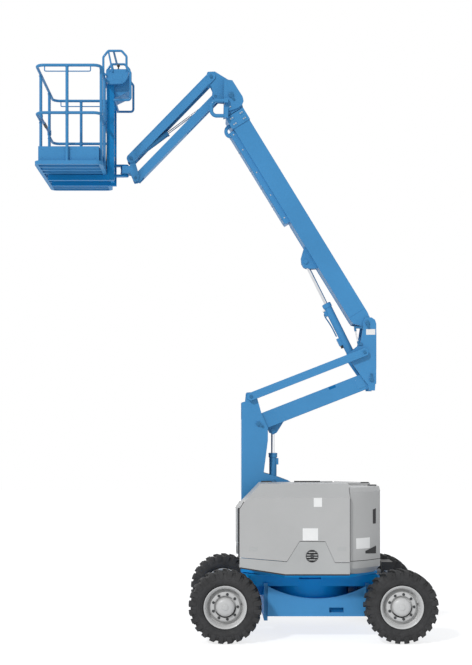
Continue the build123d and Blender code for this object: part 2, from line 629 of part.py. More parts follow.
def primary_boom():
    """Outer boom tube with its pivot end, lift lug and the collar that guides the extension."""
    body = tube_beam(BOOM_PIVOT, BOOM_ANGLE, 70, BOOM_END, BOOM_LOW, BOOM_HIGH, BOOM_HALF, BOOM_WALL)
    cheek = in_boom([(-20, -48), (70, BOOM_LOW), (150, BOOM_LOW), (150, BOOM_HIGH), (-20, BOOM_HIGH - 8)])
    body += both(side_plate(cheek, BOOM_HALF - 20, BOOM_HALF))
    body += pin_y(BOOM_PIVOT, 48, -BOOM_HALF, BOOM_HALF)
    collar = beam(BOOM_PIVOT, BOOM_ANGLE, COLLAR_U, BOOM_END, BOOM_LOW - 14, BOOM_HIGH + 10, -BOOM_HALF - 9,
                  BOOM_HALF + 9)
    body += collar - beam(BOOM_PIVOT, BOOM_ANGLE, COLLAR_U - 1, BOOM_END + 1, EXT_LOW - 0.3, EXT_HIGH + 0.3,
                          -EXT_HALF - 0.3, EXT_HALF + 0.3)
    lug = in_boom([(1110, BOOM_LOW + 4), (1077, -171), (1016, -237), (960, -264), (911, -264), (872, -232),
                   (839, -179), (815, BOOM_LOW + 4)])
    body += both(side_plate(lug, LUG_IN, LUG_IN + 18) + pin_y(LIFT_CYL_HEAD, PIN_R, LUG_IN + 18, LUG_IN + 30))
    return body - pin_y(BOOM_PIVOT, PIN_R + FIT, -BOOM_HALF - 1, BOOM_HALF + 1)


def cable_tray():
    """Hose carrier under the boom with a guard loop at its upper end."""
    tray = beam(BOOM_PIVOT, BOOM_ANGLE, 1430, 2640, BOOM_LOW - 62, BOOM_LOW, -95, 95)
    ring_at = along(BOOM_PIVOT, BOOM_ANGLE, COLLAR_U + 6, BOOM_LOW - 30)
    ring = pin_y(ring_at, 76, -62, -28) - pin_y(ring_at, 38, -63, -27)
    for u0, u1, low in ((COLLAR_U - 90, COLLAR_U - 0.3, 0), (COLLAR_U - 0.3, BOOM_END, -14.3)):
        ring -= beam(BOOM_PIVOT, BOOM_ANGLE, u0, u1, BOOM_LOW + low, BOOM_HIGH, -70, 0)
    return tray + ring


def extension_boom():
    """Sliding boom section with the nose plates that carry the bell crank."""
    body = tube_beam(BOOM_PIVOT, BOOM_ANGLE, EXT_TAIL, 2850, EXT_LOW, EXT_HIGH, EXT_HALF, 8)
    heel = beam(BOOM_PIVOT, BOOM_ANGLE, EXT_TAIL, EXT_TAIL + 120, BOOM_LOW + BOOM_WALL + 0.3,
                BOOM_HIGH - BOOM_WALL - 0.3, -BOOM_HALF + BOOM_WALL + 0.3, BOOM_HALF - BOOM_WALL - 0.3)
    body += heel
    body += beam(BOOM_PIVOT, BOOM_ANGLE, BOOM_END + 8, 2862, EXT_LOW, EXT_HIGH, -NOSE_IN, NOSE_IN)
    nose = [(-942, 6229), (-850, 6217), (-735, 6035), (-723, 5985), (-740, 5940), (-791, 5905), (-949, 5848)]
    body += both(side_plate(nose, NOSE_IN, NOSE_OUT))
    return body + pin_y(NOSE, NOSE_PIN_R, -NOSE_OUT - 6, NOSE_OUT + 6)


def hose_loop():
    """Hoses that bow out from the nose plate toward the jib."""
    x0, x1, z0, z1 = -1086, -938, 5810, 5979
    y = -NOSE_OUT - 23
    body = bent_tube([(x1, z0), (x0, z0), (x0, z1), (x1, z1)], y, 21, 60)
    for z, rise in ((z0, 90), (z1, 24)):
        body += block(x1 - 5, x1 + 40, y - 22, -NOSE_OUT, z - 24, z + rise)
    return body


def lift_barrel():
    body = barrel(LIFT_CYL_FOOT, LIFT_CYL_HEAD, 686, 45, LIFT_ROD_R, 28)
    f, h = Vector(LIFT_CYL_FOOT[0], 0, LIFT_CYL_FOOT[1]), Vector(LIFT_CYL_HEAD[0], 0, LIFT_CYL_HEAD[1])
    way = (h - f).normalized()
    side = Vector(-way.Z, 0, way.X)
    for u, length, out in ((230, 90, 78), (585, 60, 62)):
        a = f + way * u + side * 30
        body += Plane(origin=a + side * (out - 30) / 2, z_dir=way) * Box(44, out - 30, length)
    return body


def lift_rod():
    return piston_rod(LIFT_CYL_FOOT, LIFT_CYL_HEAD, 740, LIFT_ROD_R)


# ---------------------------------------------------------------- jib
def bell_crank():
    """Plates that stay level at the boom's nose and carry both jib arms."""
    outline = [(-1125, 6245), (-1137, 6320), (-1126, 6333), (-1046, 6336), (-887, 6238), (-815, 6105),
               (-812, 6030), (-850, 6000), (-1045, 6015), (-1080, 6050), (-1075, 6140)]
    body = both(side_plate(outline, JIB_PLATE_IN, JIB_PLATE_OUT))
    body += block(-945, -913, -JIB_PLATE_IN, JIB_PLATE_IN, 6020, 6200)
    body += pin_y(NOSE, 48, -NOSE_IN + 6, NOSE_IN - 6)
    body += both(pin_y(JIB_HEAD, SMALL_PIN_R, JIB_PLATE_IN, JIB_OUT + 8))
    body += both(pin_y(JIB_LOW_HEAD, SMALL_PIN_R, JIB_LOW_IN - 3, JIB_PLATE_OUT))
    return body - pin_y(NOSE, NOSE_PIN_R + FIT, -NOSE_IN, NOSE_IN)


def jib_channel(head, n0, n1, web_high, half_in, half_out):
    """One jib arm: a channel whose web is on its upper or its lower side."""
    foot = along(head, -JIB_ANGLE, JIB_LENGTH, 0)
    body = both(beam(head, -JIB_ANGLE, 0, JIB_LENGTH, n0, n1, half_in, half_out))
    end_r = min(-n0, n1)
    for point in (head, foot):
        body += both(pin_y(point, end_r, half_in, half_out))
    w0, w1 = (n1 - 8, n1) if web_high else (n0, n0 + 8)
    body += beam(head, -JIB_ANGLE, 75, JIB_LENGTH - 75, w0, w1, -half_out, half_out)
    for point in (head, foot):
        body -= pin_y(point, SMALL_PIN_R + FIT, -half_out - 1, half_out + 1)
    return body


def jib_upper_arm():
    return jib_channel(JIB_HEAD, -50, 50, True, JIB_OUT - 8, JIB_OUT)


def jib_lower_arm():
    """Lower jib arm, its web slotted at the head where the cylinder's rod swings through."""
    body = jib_channel(JIB_LOW_HEAD, -55, 38, False, JIB_LOW_IN, JIB_PLATE_IN - 3)
    return body - beam(JIB_LOW_HEAD, -JIB_ANGLE, 70, JIB_SLOT_END, -56, -46, -LUG_IN, LUG_IN)


def jib_barrel():
    f, h = Vector(JIB_FOOT[0], 0, JIB_FOOT[1]), Vector(JIB_LOW_HEAD[0], 0, JIB_LOW_HEAD[1])
    way = (h - f).normalized()
    body = rod(tuple(f + way * 24), tuple(f + way * 510), 32)
    body += pin_y(JIB_FOOT, 30, -24, 24)
    body -= rod(tuple(f + way * 50), tuple(f + way * 511), JIB_ROD_R + FIT)
    return body - pin_y(JIB_FOOT, SMALL_PIN_R + FIT, -25, 25)


def jib_rod():
    return piston_rod(JIB_FOOT, JIB_LOW_HEAD, 1060, JIB_ROD_R)


def end_bracket():
    """Level bracket at the jib's foot with the rotator's body."""
    outline = [(-2095, ROT_Z0), (-2095, ROT_Z1), (-2008, ROT_Z1), (-2008, 5300), (-2028, 5370), (-1975, 5388),
               (-1955, 5340), (-1905, 5160), (-1912, 5105), (-1965, 5092), (-2005, ROT_Z0)]
    body = both(side_plate(outline, JIB_PLATE_IN, JIB_PLATE_OUT))
    body += rod((ROTATE_X, 0, ROT_Z0), (ROTATE_X, 0, ROT_Z1), 55)
    body += block(ROTATE_X - 30, ROTATE_X + 42, -JIB_PLATE_IN, JIB_PLATE_IN, ROT_Z0, ROT_Z1)
    body += pin_y(JIB_FOOT, SMALL_PIN_R, -JIB_OUT - 8, JIB_OUT + 8)
    body += both(pin_y(JIB_LOW_FOOT, SMALL_PIN_R, JIB_LOW_IN - 3, JIB_PLATE_OUT))
    return body + rod((ROTATE_X, 0, ROT_Z0 - 30), (ROTATE_X, 0, ROT_Z1 + 24), PIN_R)


# ---------------------------------------------------------------- platform
def platform_mast():
    """Frame between the rotator and the platform: two uprights, arms under the floor, pivot plates."""
    x0, x1 = MAST_X - MAST_HALF, MAST_X + MAST_HALF
    pieces = []
    for y0, y1 in ((-MAST_OUT, -MAST_IN), (MAST_IN, MAST_OUT)):
        pieces.append(block(x0, x1, y0, y1, MAST_Z0, MAST_Z1))
        pieces.append(block(-2920, x0, y0, y1, MAST_Z0, FLOOR_Z - 20))
    plate = block(MAST_X - 20, MAST_X + 20, -MAST_IN, MAST_IN, 5110, 5420)
    for y in (-ANCHOR_Y, ANCHOR_Y):
        plate -= rod((MAST_X - 21, y, ANCHOR_Z), (MAST_X + 21, y, ANCHOR_Z), ANCHOR_R)
    pieces.append(plate)
    pieces.append(block(MAST_X - 20, MAST_X + 20, -MAST_IN, MAST_IN, 5900, 5960))
    half = PIVOT_PLATE_HALF
    for z0, z1 in ((ROT_Z0 - 28, ROT_Z0 - 6), (ROT_Z1 + 6, ROT_Z1 + 24)):
        arm = block(MAST_X + 20, ROTATE_X, -half, half, z0, z1)
        arm += rod((ROTATE_X, 0, z0), (ROTATE_X, 0, z1), half)
        pieces.append(arm - rod((ROTATE_X, 0, z0 - 1), (ROTATE_X, 0, z1 + 1), PIN_R + FIT))
    return group(*pieces)


def platform_floor():
    """Floor frame with ribs and tread plate, and four toe-boards standing on it."""
    bottom, top = FLOOR_Z - 20, FLOOR_Z + 20
    plan = RectangleRounded(PLAT_X1 - PLAT_X0, 2 * PLAT_HALF, FLOOR_ROUND)
    body = extrude(Pos((PLAT_X0 + PLAT_X1) / 2, 0, bottom) * plan, amount=top - bottom)
    body -= block(PLAT_X0 + 40, PLAT_X1 - 40, -PLAT_HALF + 40, PLAT_HALF - 40, bottom - 1, top - 6)
    for y in RIB_YS:
        body += block(PLAT_X0 + 30, PLAT_X1 - 30, y - 15, y + 15, bottom, top - 4)
    t, toe_top = TOE_T, FLOOR_Z + TOE_H
    x0, x1, y1 = PLAT_X0 + TOE_INSET, PLAT_X1 - TOE_INSET, PLAT_HALF - TOE_INSET
    boards = [
        block(x0, x0 + t, -y1, y1, top, toe_top),
        block(x1 - t, x1, -y1, y1, top, toe_top),
        block(x0 + t, x1 - t, -y1, -y1 + t, top, toe_top),
        block(x0 + t, x1 - t, y1 - t, y1, top, toe_top),
    ]
    return group(body, *boards)


def rail_ring(z, inset, bend):
    """A tube around the platform at height z with round corners."""
    w, d = PLAT_X1 - PLAT_X0 - 2 * inset, 2 * PLAT_HALF - 2 * inset
    path = Pos((PLAT_X0 + PLAT_X1) / 2, 0, z) * RectangleRounded(w, d, bend)
    wire = path.face().outer_wire()
    return sweep(Plane(origin=wire @ 0, z_dir=wire % 0) * Circle(RAIL_R), path=wire)


def ring_lengths(ring, z, inset, bend):
    """The ring as its four straight tubes and four corner bends."""
    xs = (PLAT_X0 - 1, PLAT_X0 + inset + bend, PLAT_X1 - inset - bend, PLAT_X1 + 1)
    ys = (-PLAT_HALF - 1, -PLAT_HALF + inset + bend, PLAT_HALF - inset - bend, PLAT_HALF + 1)
    lengths = []
    for i in range(3):
        for j in range(3):
            if (i, j) != (1, 1):
                lengths.append(ring & block(xs[i], xs[i + 1], ys[j], ys[j + 1], z - RAIL_R - 1, z + RAIL_R + 1))
    return lengths


def platform_rails():
    """Top and mid rails in lengths between posts, open at the entry between its two posts."""
    inset, bend = RAIL_R + RAIL_INSET, RAIL_BEND
    x_in, x_far, y_in = PLAT_X0 + inset, PLAT_X1 - inset, PLAT_HALF - inset
    spots = [(x_in, -ENTRY_HALF), (x_in, ENTRY_HALF), (POST_X, -y_in), (POST_X, y_in),
             (x_far, -620), (x_far, -230), (x_far, 230), (x_far, 620)]
    top_ring = rail_ring(RAIL_Z, inset, bend)
    posts = [rod((x, y, FLOOR_Z + 20), (x, y, RAIL_Z), RAIL_R + 1) - top_ring for x, y in spots]
    pieces = posts + ring_lengths(top_ring, RAIL_Z, inset, bend)
    mid_ring = rail_ring(MID_RAIL_Z, inset, bend)
    mid_ring -= block(PLAT_X0 - 1, x_in + 40, -ENTRY_HALF, ENTRY_HALF, MID_RAIL_Z - 30, MID_RAIL_Z + 30)
    for length in ring_lengths(mid_ring, MID_RAIL_Z, inset, bend):
        for x, y in spots:
            length -= rod((x, y, MID_RAIL_Z - 30), (x, y, MID_RAIL_Z + 30), RAIL_R + 1)
        pieces.append(length)
    return group(*pieces)


def entry_bar():
    """Mid bar of the entry, whose sleeves slide up its two posts."""
    x, low = PLAT_X0 + RAIL_R + RAIL_INSET, MID_RAIL_Z + RAIL_R + 0.3
    mid = low + SLEEVE_H / 2
    body = rod((x, -ENTRY_HALF, mid), (x, ENTRY_HALF, mid), RAIL_R - 2)
    for y in (-ENTRY_HALF, ENTRY_HALF):
        body += rod((x, y, low), (x, y, low + SLEEVE_H), RAIL_R + 7)
    for y in (-ENTRY_HALF, ENTRY_HALF):
        body -= rod((x, y, low - 1), (x, y, low + SLEEVE_H + 1), RAIL_R + 1 + FIT)
    return body


def control_console():
    """Operator's control box on the mast, with a tapered base."""
    outline = [(-2262, 6170), (-2262, 6290), (-2235, CONSOLE_Z1), (-2032, CONSOLE_Z1), (-2008, 6290),
               (-2024, 6226), (-2050, 6180), (-2085, 6154), (-2226, 6148)]
    x0, x1 = MAST_X + MAST_HALF + 0.5, CONSOLE_X1
    base = side_plate([(x0, 6012), (x1, 6095), (x1, 6285), (x0, 6285)], -CONSOLE_BASE, CONSOLE_BASE)
    half = MAST_HALF + 0.5
    seat = block(MAST_X - half, MAST_X + half, MAST_IN - 0.5, MAST_OUT + 0.5, 6000, MAST_Z1 + 0.5)
    return side_plate(outline, -CONSOLE_HALF, CONSOLE_HALF) + base - both(seat)


def console_guard():
    """Tube hoops around both ends of the console, tied by two cross bars."""
    x_low, y, low, high = MAST_X + MAST_HALF + GUARD_R + 0.3, CONSOLE_HALF + GUARD_R + 3, GUARD_Z0, GUARD_Z1
    path = [(x_low - GUARD_R - 2, low), (-1990, low), (-1990, 6270), (-2035, 6330), (-2035, high - 62),
            (-2090, high), (-2240, high), (-2294, high - 70), (-2294, 6250), (-2262, 6250)]
    body = both(bent_tube(path, y, GUARD_R, 30))
    body += rod((-2180, -y, high), (-2180, y, high), GUARD_R - 1)
    stay_r = GUARD_R - 3
    body += both(rod((-2238, y, high), (-2192, CONSOLE_HALF + stay_r + 0.3, CONSOLE_Z1 - 30), stay_r))
    body += both(block(MAST_X + MAST_HALF, x_low, 140, 170, low - 14, low + 14))
    return body + rod((x_low, -y, low), (x_low, y, low), GUARD_R - 1)


PARTS = {
    "chassis_frame": chassis_frame,
    "slew_ring": slew_ring,
    "steer_axle": steer_axle,
    "steer_cylinder": steer_cylinder,
    "steer_rod": steer_rod,
    "steer_knuckle_left": lambda: steer_knuckle(-1),
    "steer_knuckle_right": lambda: steer_knuckle(1),
    "drive_axle": drive_axle,
    "manifold_box": manifold_box,
    "turntable_deck": turntable_deck,
    "riser_tower": riser_tower,
    "cover_left": cover_left,
    "cover_right": cover_right,
    "sill_left": sill_left,
    "sill_right": sill_right,
    "counterweight": counterweight,
    "tail_cover": tail_cover,
    "engine_block": engine_block,
    "fuel_tank": fuel_tank,
    "hydraulic_tank": hydraulic_tank,
    "ground_controls": ground_controls,
    "lower_arm": lower_arm,
    "tie_link": tie_link,
    "mid_knuckle": mid_knuckle,
    "riser_barrel": riser_barrel,
    "riser_rod": riser_rod,
    "primary_boom": primary_boom,
    "cable_tray": cable_tray,
    "extension_boom": extension_boom,
    "hose_loop": hose_loop,
    "lift_barrel": lift_barrel,
    "lift_rod": lift_rod,
    "bell_crank": bell_crank,
    "jib_upper_arm": jib_upper_arm,
    "jib_lower_arm": jib_lower_arm,
    "jib_barrel": jib_barrel,
    "jib_rod": jib_rod,
    "end_bracket": end_bracket,
    "platform_mast": platform_mast,
    "platform_floor": platform_floor,
    "platform_rails": platform_rails,
    "entry_bar": entry_bar,
    "control_console": control_console,
    "console_guard": console_guard,
}

# The row's origin is on the ground, midway between the platform's end and the rear tyres.
BOX_MID_X = (PLAT_X0 + AXLE_X + TYRE_D / 2) / 2
to_row = Pos(-BOX_MID_X, 0, 0)

for name, make in PARTS.items():
    export_step(to_row * make(), f"parts/{name}.step")

wheel_pieces = {"tyre": tyre(), "rim": rim()}
for end_name, end in (("front", -1), ("rear", 1)):
    for side_name, side in (("left", -1), ("right", 1)):
        for piece_name, piece in wheel_pieces.items():
            export_step(to_row * at_wheel(piece, end, side), f"parts/{piece_name}_{end_name}_{side_name}.step")
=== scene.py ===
import json
import math
import bmesh
import bpy
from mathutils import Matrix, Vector


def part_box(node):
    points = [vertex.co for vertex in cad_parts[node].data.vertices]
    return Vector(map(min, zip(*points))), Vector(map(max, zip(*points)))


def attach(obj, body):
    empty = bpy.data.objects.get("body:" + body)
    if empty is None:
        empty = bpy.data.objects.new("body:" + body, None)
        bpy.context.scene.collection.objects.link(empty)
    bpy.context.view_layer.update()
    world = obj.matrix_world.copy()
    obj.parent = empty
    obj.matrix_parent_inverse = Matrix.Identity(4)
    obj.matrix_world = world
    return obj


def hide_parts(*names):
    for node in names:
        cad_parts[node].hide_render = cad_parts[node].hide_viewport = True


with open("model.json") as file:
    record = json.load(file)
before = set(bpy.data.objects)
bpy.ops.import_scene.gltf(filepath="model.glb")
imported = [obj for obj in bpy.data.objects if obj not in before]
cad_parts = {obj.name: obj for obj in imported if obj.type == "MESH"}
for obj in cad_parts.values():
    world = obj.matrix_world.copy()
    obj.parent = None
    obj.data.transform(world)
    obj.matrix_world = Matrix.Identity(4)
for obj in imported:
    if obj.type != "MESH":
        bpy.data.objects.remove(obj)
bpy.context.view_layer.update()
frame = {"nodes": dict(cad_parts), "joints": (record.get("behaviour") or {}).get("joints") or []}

NODES = frame["nodes"]
SIDES = (-1, 1)
UP = (0, 0, 1)
SIDE_NAMES = ((-1, "left"), (1, "right"))
# The turntable's axis lies midway between the two axles. Lengths along x are written from it.
REAR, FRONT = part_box("rim_rear_left"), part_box("rim_front_left")
X0 = (REAR[0][0] + REAR[1][0] + FRONT[0][0] + FRONT[1][0]) / 4


# ------------------------------ camera and light
SENSOR, LENS = 36.0, 64.2045  # mm; the sensor's size is along the picture's height


def place(name, data):
    obj = bpy.data.objects.new(name, data)
    bpy.context.collection.objects.link(obj)
    return obj


def make_camera():
    data = bpy.data.cameras.new("camera")
    cam = place("camera", data)
    data.sensor_width, data.lens = SENSOR, LENS
    data.shift_x, data.shift_y = 0.0391, 0.1436
    data.clip_start, data.clip_end = 0.1, 200
    cam.location = (X0 - 1.102, -13.5, 2.3)
    cam.rotation_euler = (math.radians(90), 0, 0)
    bpy.context.scene.camera = cam


def lamp(name, kind, energy, loc, target, size):
    """A sun of size degrees or a disk of size metres, at loc and aimed at target."""
    data = bpy.data.lights.new(name, kind)
    data.energy = energy
    if kind == "AREA":
        data.shape, data.size = "DISK", size
    else:
        data.angle = math.radians(size)
    obj = place(name, data)
    obj.location = loc
    obj.rotation_euler = (Vector(target) - Vector(loc)).to_track_quat("-Z", "Y").to_euler()


def make_world():
    """White to the eye and in mirrors, and a dimmer, cooler light on the machine."""
    world = bpy.data.worlds.new("world")
    bpy.context.scene.world = world
    world.use_nodes = True
    nt = world.node_tree
    nt.nodes.clear()
    path = nt.nodes.new("ShaderNodeLightPath")
    seen = math_node(nt, "MAXIMUM", path.outputs["Is Camera Ray"], path.outputs["Is Glossy Ray"])
    seen = math_node(nt, "MAXIMUM", seen, path.outputs["Is Transmission Ray"])
    mix, out = nt.nodes.new("ShaderNodeMixShader"), nt.nodes.new("ShaderNodeOutputWorld")
    link(nt, seen, mix.inputs[0])
    for socket, colour, strength in ((1, (0.93, 0.96, 1.0), 0.52), (2, (1, 1, 1), 1.0)):
        sky = nt.nodes.new("ShaderNodeBackground")
        sky.inputs["Color"].default_value = (*colour, 1)
        sky.inputs["Strength"].default_value = strength
        link(nt, sky.outputs[0], mix.inputs[socket])
    link(nt, mix.outputs[0], out.inputs["Surface"])


# ------------------------------ material nodes
def new_mat(name):
    mat = bpy.data.materials.new(name)
    mat.use_nodes = True
    nt = mat.node_tree
    return mat, nt, nt.nodes["Principled BSDF"]


def link(nt, a, b):
    nt.links.new(a, b)


def feed(nt, socket, value):
    """Sets a socket to a number or a colour, or links another node's output to it."""
    if isinstance(value, (int, float)):
        socket.default_value = value
    elif isinstance(value, tuple):
        socket.default_value = (*value, 1)
    else:
        link(nt, value, socket)


def math_node(nt, operation, *values, clamp=False):
    node = nt.nodes.new("ShaderNodeMath")
    node.operation, node.use_clamp = operation, clamp
    for socket, value in zip(node.inputs, values):
        feed(nt, socket, value)
    return node.outputs[0]


def blend(nt, share, first, second):
    """The first colour, with the second's share laid over it."""
    node = nt.nodes.new("ShaderNodeMix")
    node.data_type = "RGBA"
    for k, value in ((0, share), (6, first), (7, second)):
        feed(nt, node.inputs[k], value)
    return node.outputs[2]


def noise(nt, coords, scale, detail, rough):
    n = nt.nodes.new("ShaderNodeTexNoise")
    n.inputs["Scale"].default_value = scale
    n.inputs["Detail"].default_value = detail
    n.inputs["Roughness"].default_value = rough
    link(nt, coords, n.inputs["Vector"])
    return n.outputs["Fac"]


def ramp(nt, fac, *stops):
    """A colour ramp with two stops of (position, colour)."""
    r = nt.nodes.new("ShaderNodeValToRGB")
    for element, (pos, col) in zip(r.color_ramp.elements, stops):
        element.position, element.color = pos, (*col, 1)
    link(nt, fac, r.inputs["Fac"])
    return r.outputs["Color"]


def obj_coords(nt):
    return nt.nodes.new("ShaderNodeTexCoord").outputs["Object"]


def roughness(nt, bsdf, low, high, fac):
    span = nt.nodes.new("ShaderNodeMapRange")
    span.inputs[3].default_value, span.inputs[4].default_value = low, high
    link(nt, fac, span.inputs[0])
    link(nt, span.outputs[0], bsdf.inputs["Roughness"])


def bump(nt, bsdf, height, strength, distance):
    b = nt.nodes.new("ShaderNodeBump")
    b.inputs["Strength"].default_value = strength
    b.inputs["Distance"].default_value = distance
    link(nt, height, b.inputs["Height"])
    link(nt, b.outputs["Normal"], bsdf.inputs["Normal"])


def shade(colour, by, plus=0.0):
    return tuple(min(1, v * by + plus) for v in colour)


# ------------------------------ materials
DUST = (0.5, 0.48, 0.44)


def painted(name, colour, rough, coat, vary, peel=0.0006, dust=0.0, sheen=0.5, inner=None):
    """Sprayed enamel: slight tone changes, orange peel, fine scuffs and a little dust on top faces.

    inner is (tone, half): faces nearer the middle than half, across the machine, take that tone; it is painted fill
    light, a brighter blue on faces that lie in shade.
    """
    mat, nt, bsdf = new_mat(name)
    co = obj_coords(nt)
    col = ramp(nt, noise(nt, co, 1.7, 4, 0.6), (0.3, shade(colour, 1 - vary)), (0.7, shade(colour, 1 + vary)))
    if inner is not None:
        tone, half = inner
        spot = nt.nodes.new("ShaderNodeSeparateXYZ")
        link(nt, co, spot.inputs[0])
        within = math_node(nt, "LESS_THAN", math_node(nt, "ABSOLUTE", spot.outputs["Y"]), half)
        col = blend(nt, within, col, tone)
    if dust > 0:
        way = nt.nodes.new("ShaderNodeSeparateXYZ")
        link(nt, nt.nodes.new("ShaderNodeNewGeometry").outputs["Normal"], way.inputs[0])
        up = math_node(nt, "MULTIPLY", way.outputs["Z"], dust, clamp=True)
        spots = ramp(nt, noise(nt, co, 9, 6, 0.65), (0.35, (0, 0, 0)), (0.8, (0.5, 0.5, 0.5)))
        col = blend(nt, math_node(nt, "MULTIPLY", up, spots), col, DUST)
    scuffs = ramp(nt, noise(nt, co, 34, 6, 0.75), (0.66, (0, 0, 0)), (0.76, (0.35, 0.35, 0.35)))
    feed(nt, bsdf.inputs["Base Color"], blend(nt, scuffs, col, shade(colour, 1.25, 0.015)))
    roughness(nt, bsdf, rough - 0.05, rough + 0.08, noise(nt, co, 5, 4, 0.6))
    bsdf.inputs["Specular IOR Level"].default_value = sheen
    bsdf.inputs["Coat Weight"].default_value = coat
    bsdf.inputs["Coat Roughness"].default_value = 0.12
    bump(nt, bsdf, noise(nt, co, 240, 2, 0.5), 0.25, peel)
    return mat


def plastic(name, colour, rough, grain=420, depth=0.0008, vary=0.06):
    """Moulded plastic with a fine grain."""
    mat, nt, bsdf = new_mat(name)
    co = obj_coords(nt)
    col = ramp(nt, noise(nt, co, 3.0, 4, 0.6), (0.3, shade(colour, 1 - vary)), (0.7, shade(colour, 1 + vary)))
    link(nt, col, bsdf.inputs["Base Color"])
    roughness(nt, bsdf, rough - 0.06, rough + 0.08, noise(nt, co, 12, 4, 0.6))
    bump(nt, bsdf, noise(nt, co, grain, 3, 0.6), 0.35, depth)
    return mat


def rubber(name, colour, rough=0.78):
    """Rubber with dusty patches."""
    mat, nt, bsdf = new_mat(name)
    co = obj_coords(nt)
    col = ramp(nt, noise(nt, co, 7, 6, 0.7), (0.35, colour), (0.75, shade(colour, 1.7, 0.012)))
    link(nt, col, bsdf.inputs["Base Color"])
    roughness(nt, bsdf, rough - 0.1, rough + 0.12, noise(nt, co, 30, 4, 0.6))
    bump(nt, bsdf, noise(nt, co, 150, 4, 0.65), 0.4, 0.001)
    return mat


def metal(name, colour, rough, brushed=None, metallic=1.0):
    """Machined or plated metal; brushed stretches its fine lines along an axis."""
    mat, nt, bsdf = new_mat(name)
    co = fine = obj_coords(nt)
    if brushed is not None:
        stretch = nt.nodes.new("ShaderNodeMapping")
        stretch.inputs["Scale"].default_value = brushed
        link(nt, co, stretch.inputs["Vector"])
        fine = stretch.outputs["Vector"]
    col = ramp(nt, noise(nt, co, 4, 4, 0.6), (0.3, shade(colour, 0.88)), (0.7, shade(colour, 1.08)))
    link(nt, col, bsdf.inputs["Base Color"])
    bsdf.inputs["Metallic"].default_value = metallic
    roughness(nt, bsdf, max(0.03, rough - 0.08), rough + 0.1, noise(nt, fine, 60, 3, 0.6))
    bump(nt, bsdf, noise(nt, fine, 200, 3, 0.6), 0.2, 0.0004)
    return mat


BLUE = (0.061, 0.252, 0.505)
# Painted fill light: a brighter, richer blue for faces that lie in shade, standing in for the light that reaches
# them.
PAINTED_FILL_BLUE = (0.006, 0.27, 0.66)
BLUE_SHEEN = 0.03  # low, or the white surroundings whiten the undersides
INNER_HALF = 0.5  # the chassis's side plates stand outside this
M = {}


def make_materials():
    # key: name, colour, roughness, coat, change of tone, what else
    for key, name, colour, rough, coat, vary, more in (
            ("blue", "blue_enamel", BLUE, 0.36, 0.16, 0.05, {}),
            ("blue_dusty", "blue_enamel_dusty", BLUE, 0.42, 0.14, 0.06, {"dust": 0.35}),
            ("blue_mast", "blue_enamel_mast", (0.012, 0.21, 0.5), 0.4, 0.14, 0.05, {}),
            # The chassis's inner faces lie in shade and take the painted fill blue.
            ("blue_chassis", "blue_enamel_chassis", BLUE, 0.42, 0.14, 0.06,
             {"dust": 0.3, "inner": (PAINTED_FILL_BLUE, INNER_HALF)}),
            ("blue_painted_fill", "blue_enamel_painted_fill", PAINTED_FILL_BLUE, 0.4, 0.12, 0.05, {}),
            # Painted shade: a dark blue for thin plates laid where openings lie in shade.
            ("blue_painted_shade", "blue_enamel_painted_shade", (0.005, 0.135, 0.36), 0.5, 0.05, 0.06, {}),
            ("pin_blue", "blue_enamel_pins", shade(BLUE, 0.7), 0.34, 0.16, 0.06, {})):
        M[key] = painted(name, colour, rough, coat, vary, sheen=BLUE_SHEEN, **more)
    M["grey_cover"] = painted("grey_moulding", (0.42, 0.42, 0.415), 0.46, 0.15, 0.035, 0.0008)
    M["grey_steel"] = painted("grey_enamel", (0.4, 0.405, 0.4), 0.45, 0.15, 0.05, 0.0009)
    M["dark_steel"] = painted("dark_enamel", (0.035, 0.037, 0.04), 0.5, 0.1, 0.15)
    M["rim"] = painted("silver_enamel", (0.5, 0.5, 0.495), 0.42, 0.2, 0.08, dust=0.3)
    M["black"] = plastic("black_moulding", (0.018, 0.018, 0.019), 0.48)
    M["white_label"] = plastic("white_plate", (0.78, 0.78, 0.77), 0.45, 900, 0.0001, 0.03)
    M["red"] = plastic("red_button", (0.55, 0.02, 0.015), 0.35, 900, 0.0001)
    M["yellow"] = plastic("yellow_strap", (0.65, 0.42, 0.02), 0.6, 700, 0.0003)
    M["tyre"] = rubber("tyre_rubber_worn", (0.016, 0.016, 0.0168))
    M["hose"] = rubber("hose_rubber_black", (0.016, 0.016, 0.017), 0.55)
    M["rubber"] = rubber("seal_rubber", (0.012, 0.012, 0.013), 0.7)
    M["chrome"] = metal("plated_rod", (0.72, 0.73, 0.75), 0.14, (1, 1, 30))
    M["zinc"] = metal("zinc_plate", (0.55, 0.55, 0.53), 0.36)
    M["iron"] = metal("cast_block", (0.1, 0.1, 0.105), 0.6, None, 0.6)


# Nodes that aren't blue, tyre or rim, by material.
NODE_MATS = {node: mat for mat, nodes in {
    "blue_chassis": ("chassis_frame",),
    # The slew ring and the deck lie in shade under the turntable and take the painted fill blue.
    "blue_painted_fill": ("slew_ring", "turntable_deck"),
    "blue_dusty": ("lower_arm", "platform_floor"),
    "blue_mast": ("platform_mast",),
    "grey_cover": ("cover_left", "cover_right", "tail_cover"),
    "grey_steel": ("sill_left", "sill_right", "counterweight"),
    "dark_steel": ("steer_cylinder",),
    "black": ("manifold_box", "fuel_tank", "ground_controls"),
    "iron": ("engine_block",),
    "chrome": ("steer_rod", "riser_rod", "lift_rod", "jib_rod"),
}.items() for node in nodes}


def dress_nodes():
    for name, obj in NODES.items():
        family = name.split("_")[0]
        mat = M[family if family in ("tyre", "rim") else NODE_MATS.get(name, "blue")]
        if not obj.material_slots:
            obj.data.materials.append(mat)
            continue
        for slot in obj.material_slots:
            slot.link = "OBJECT"
            slot.material = mat


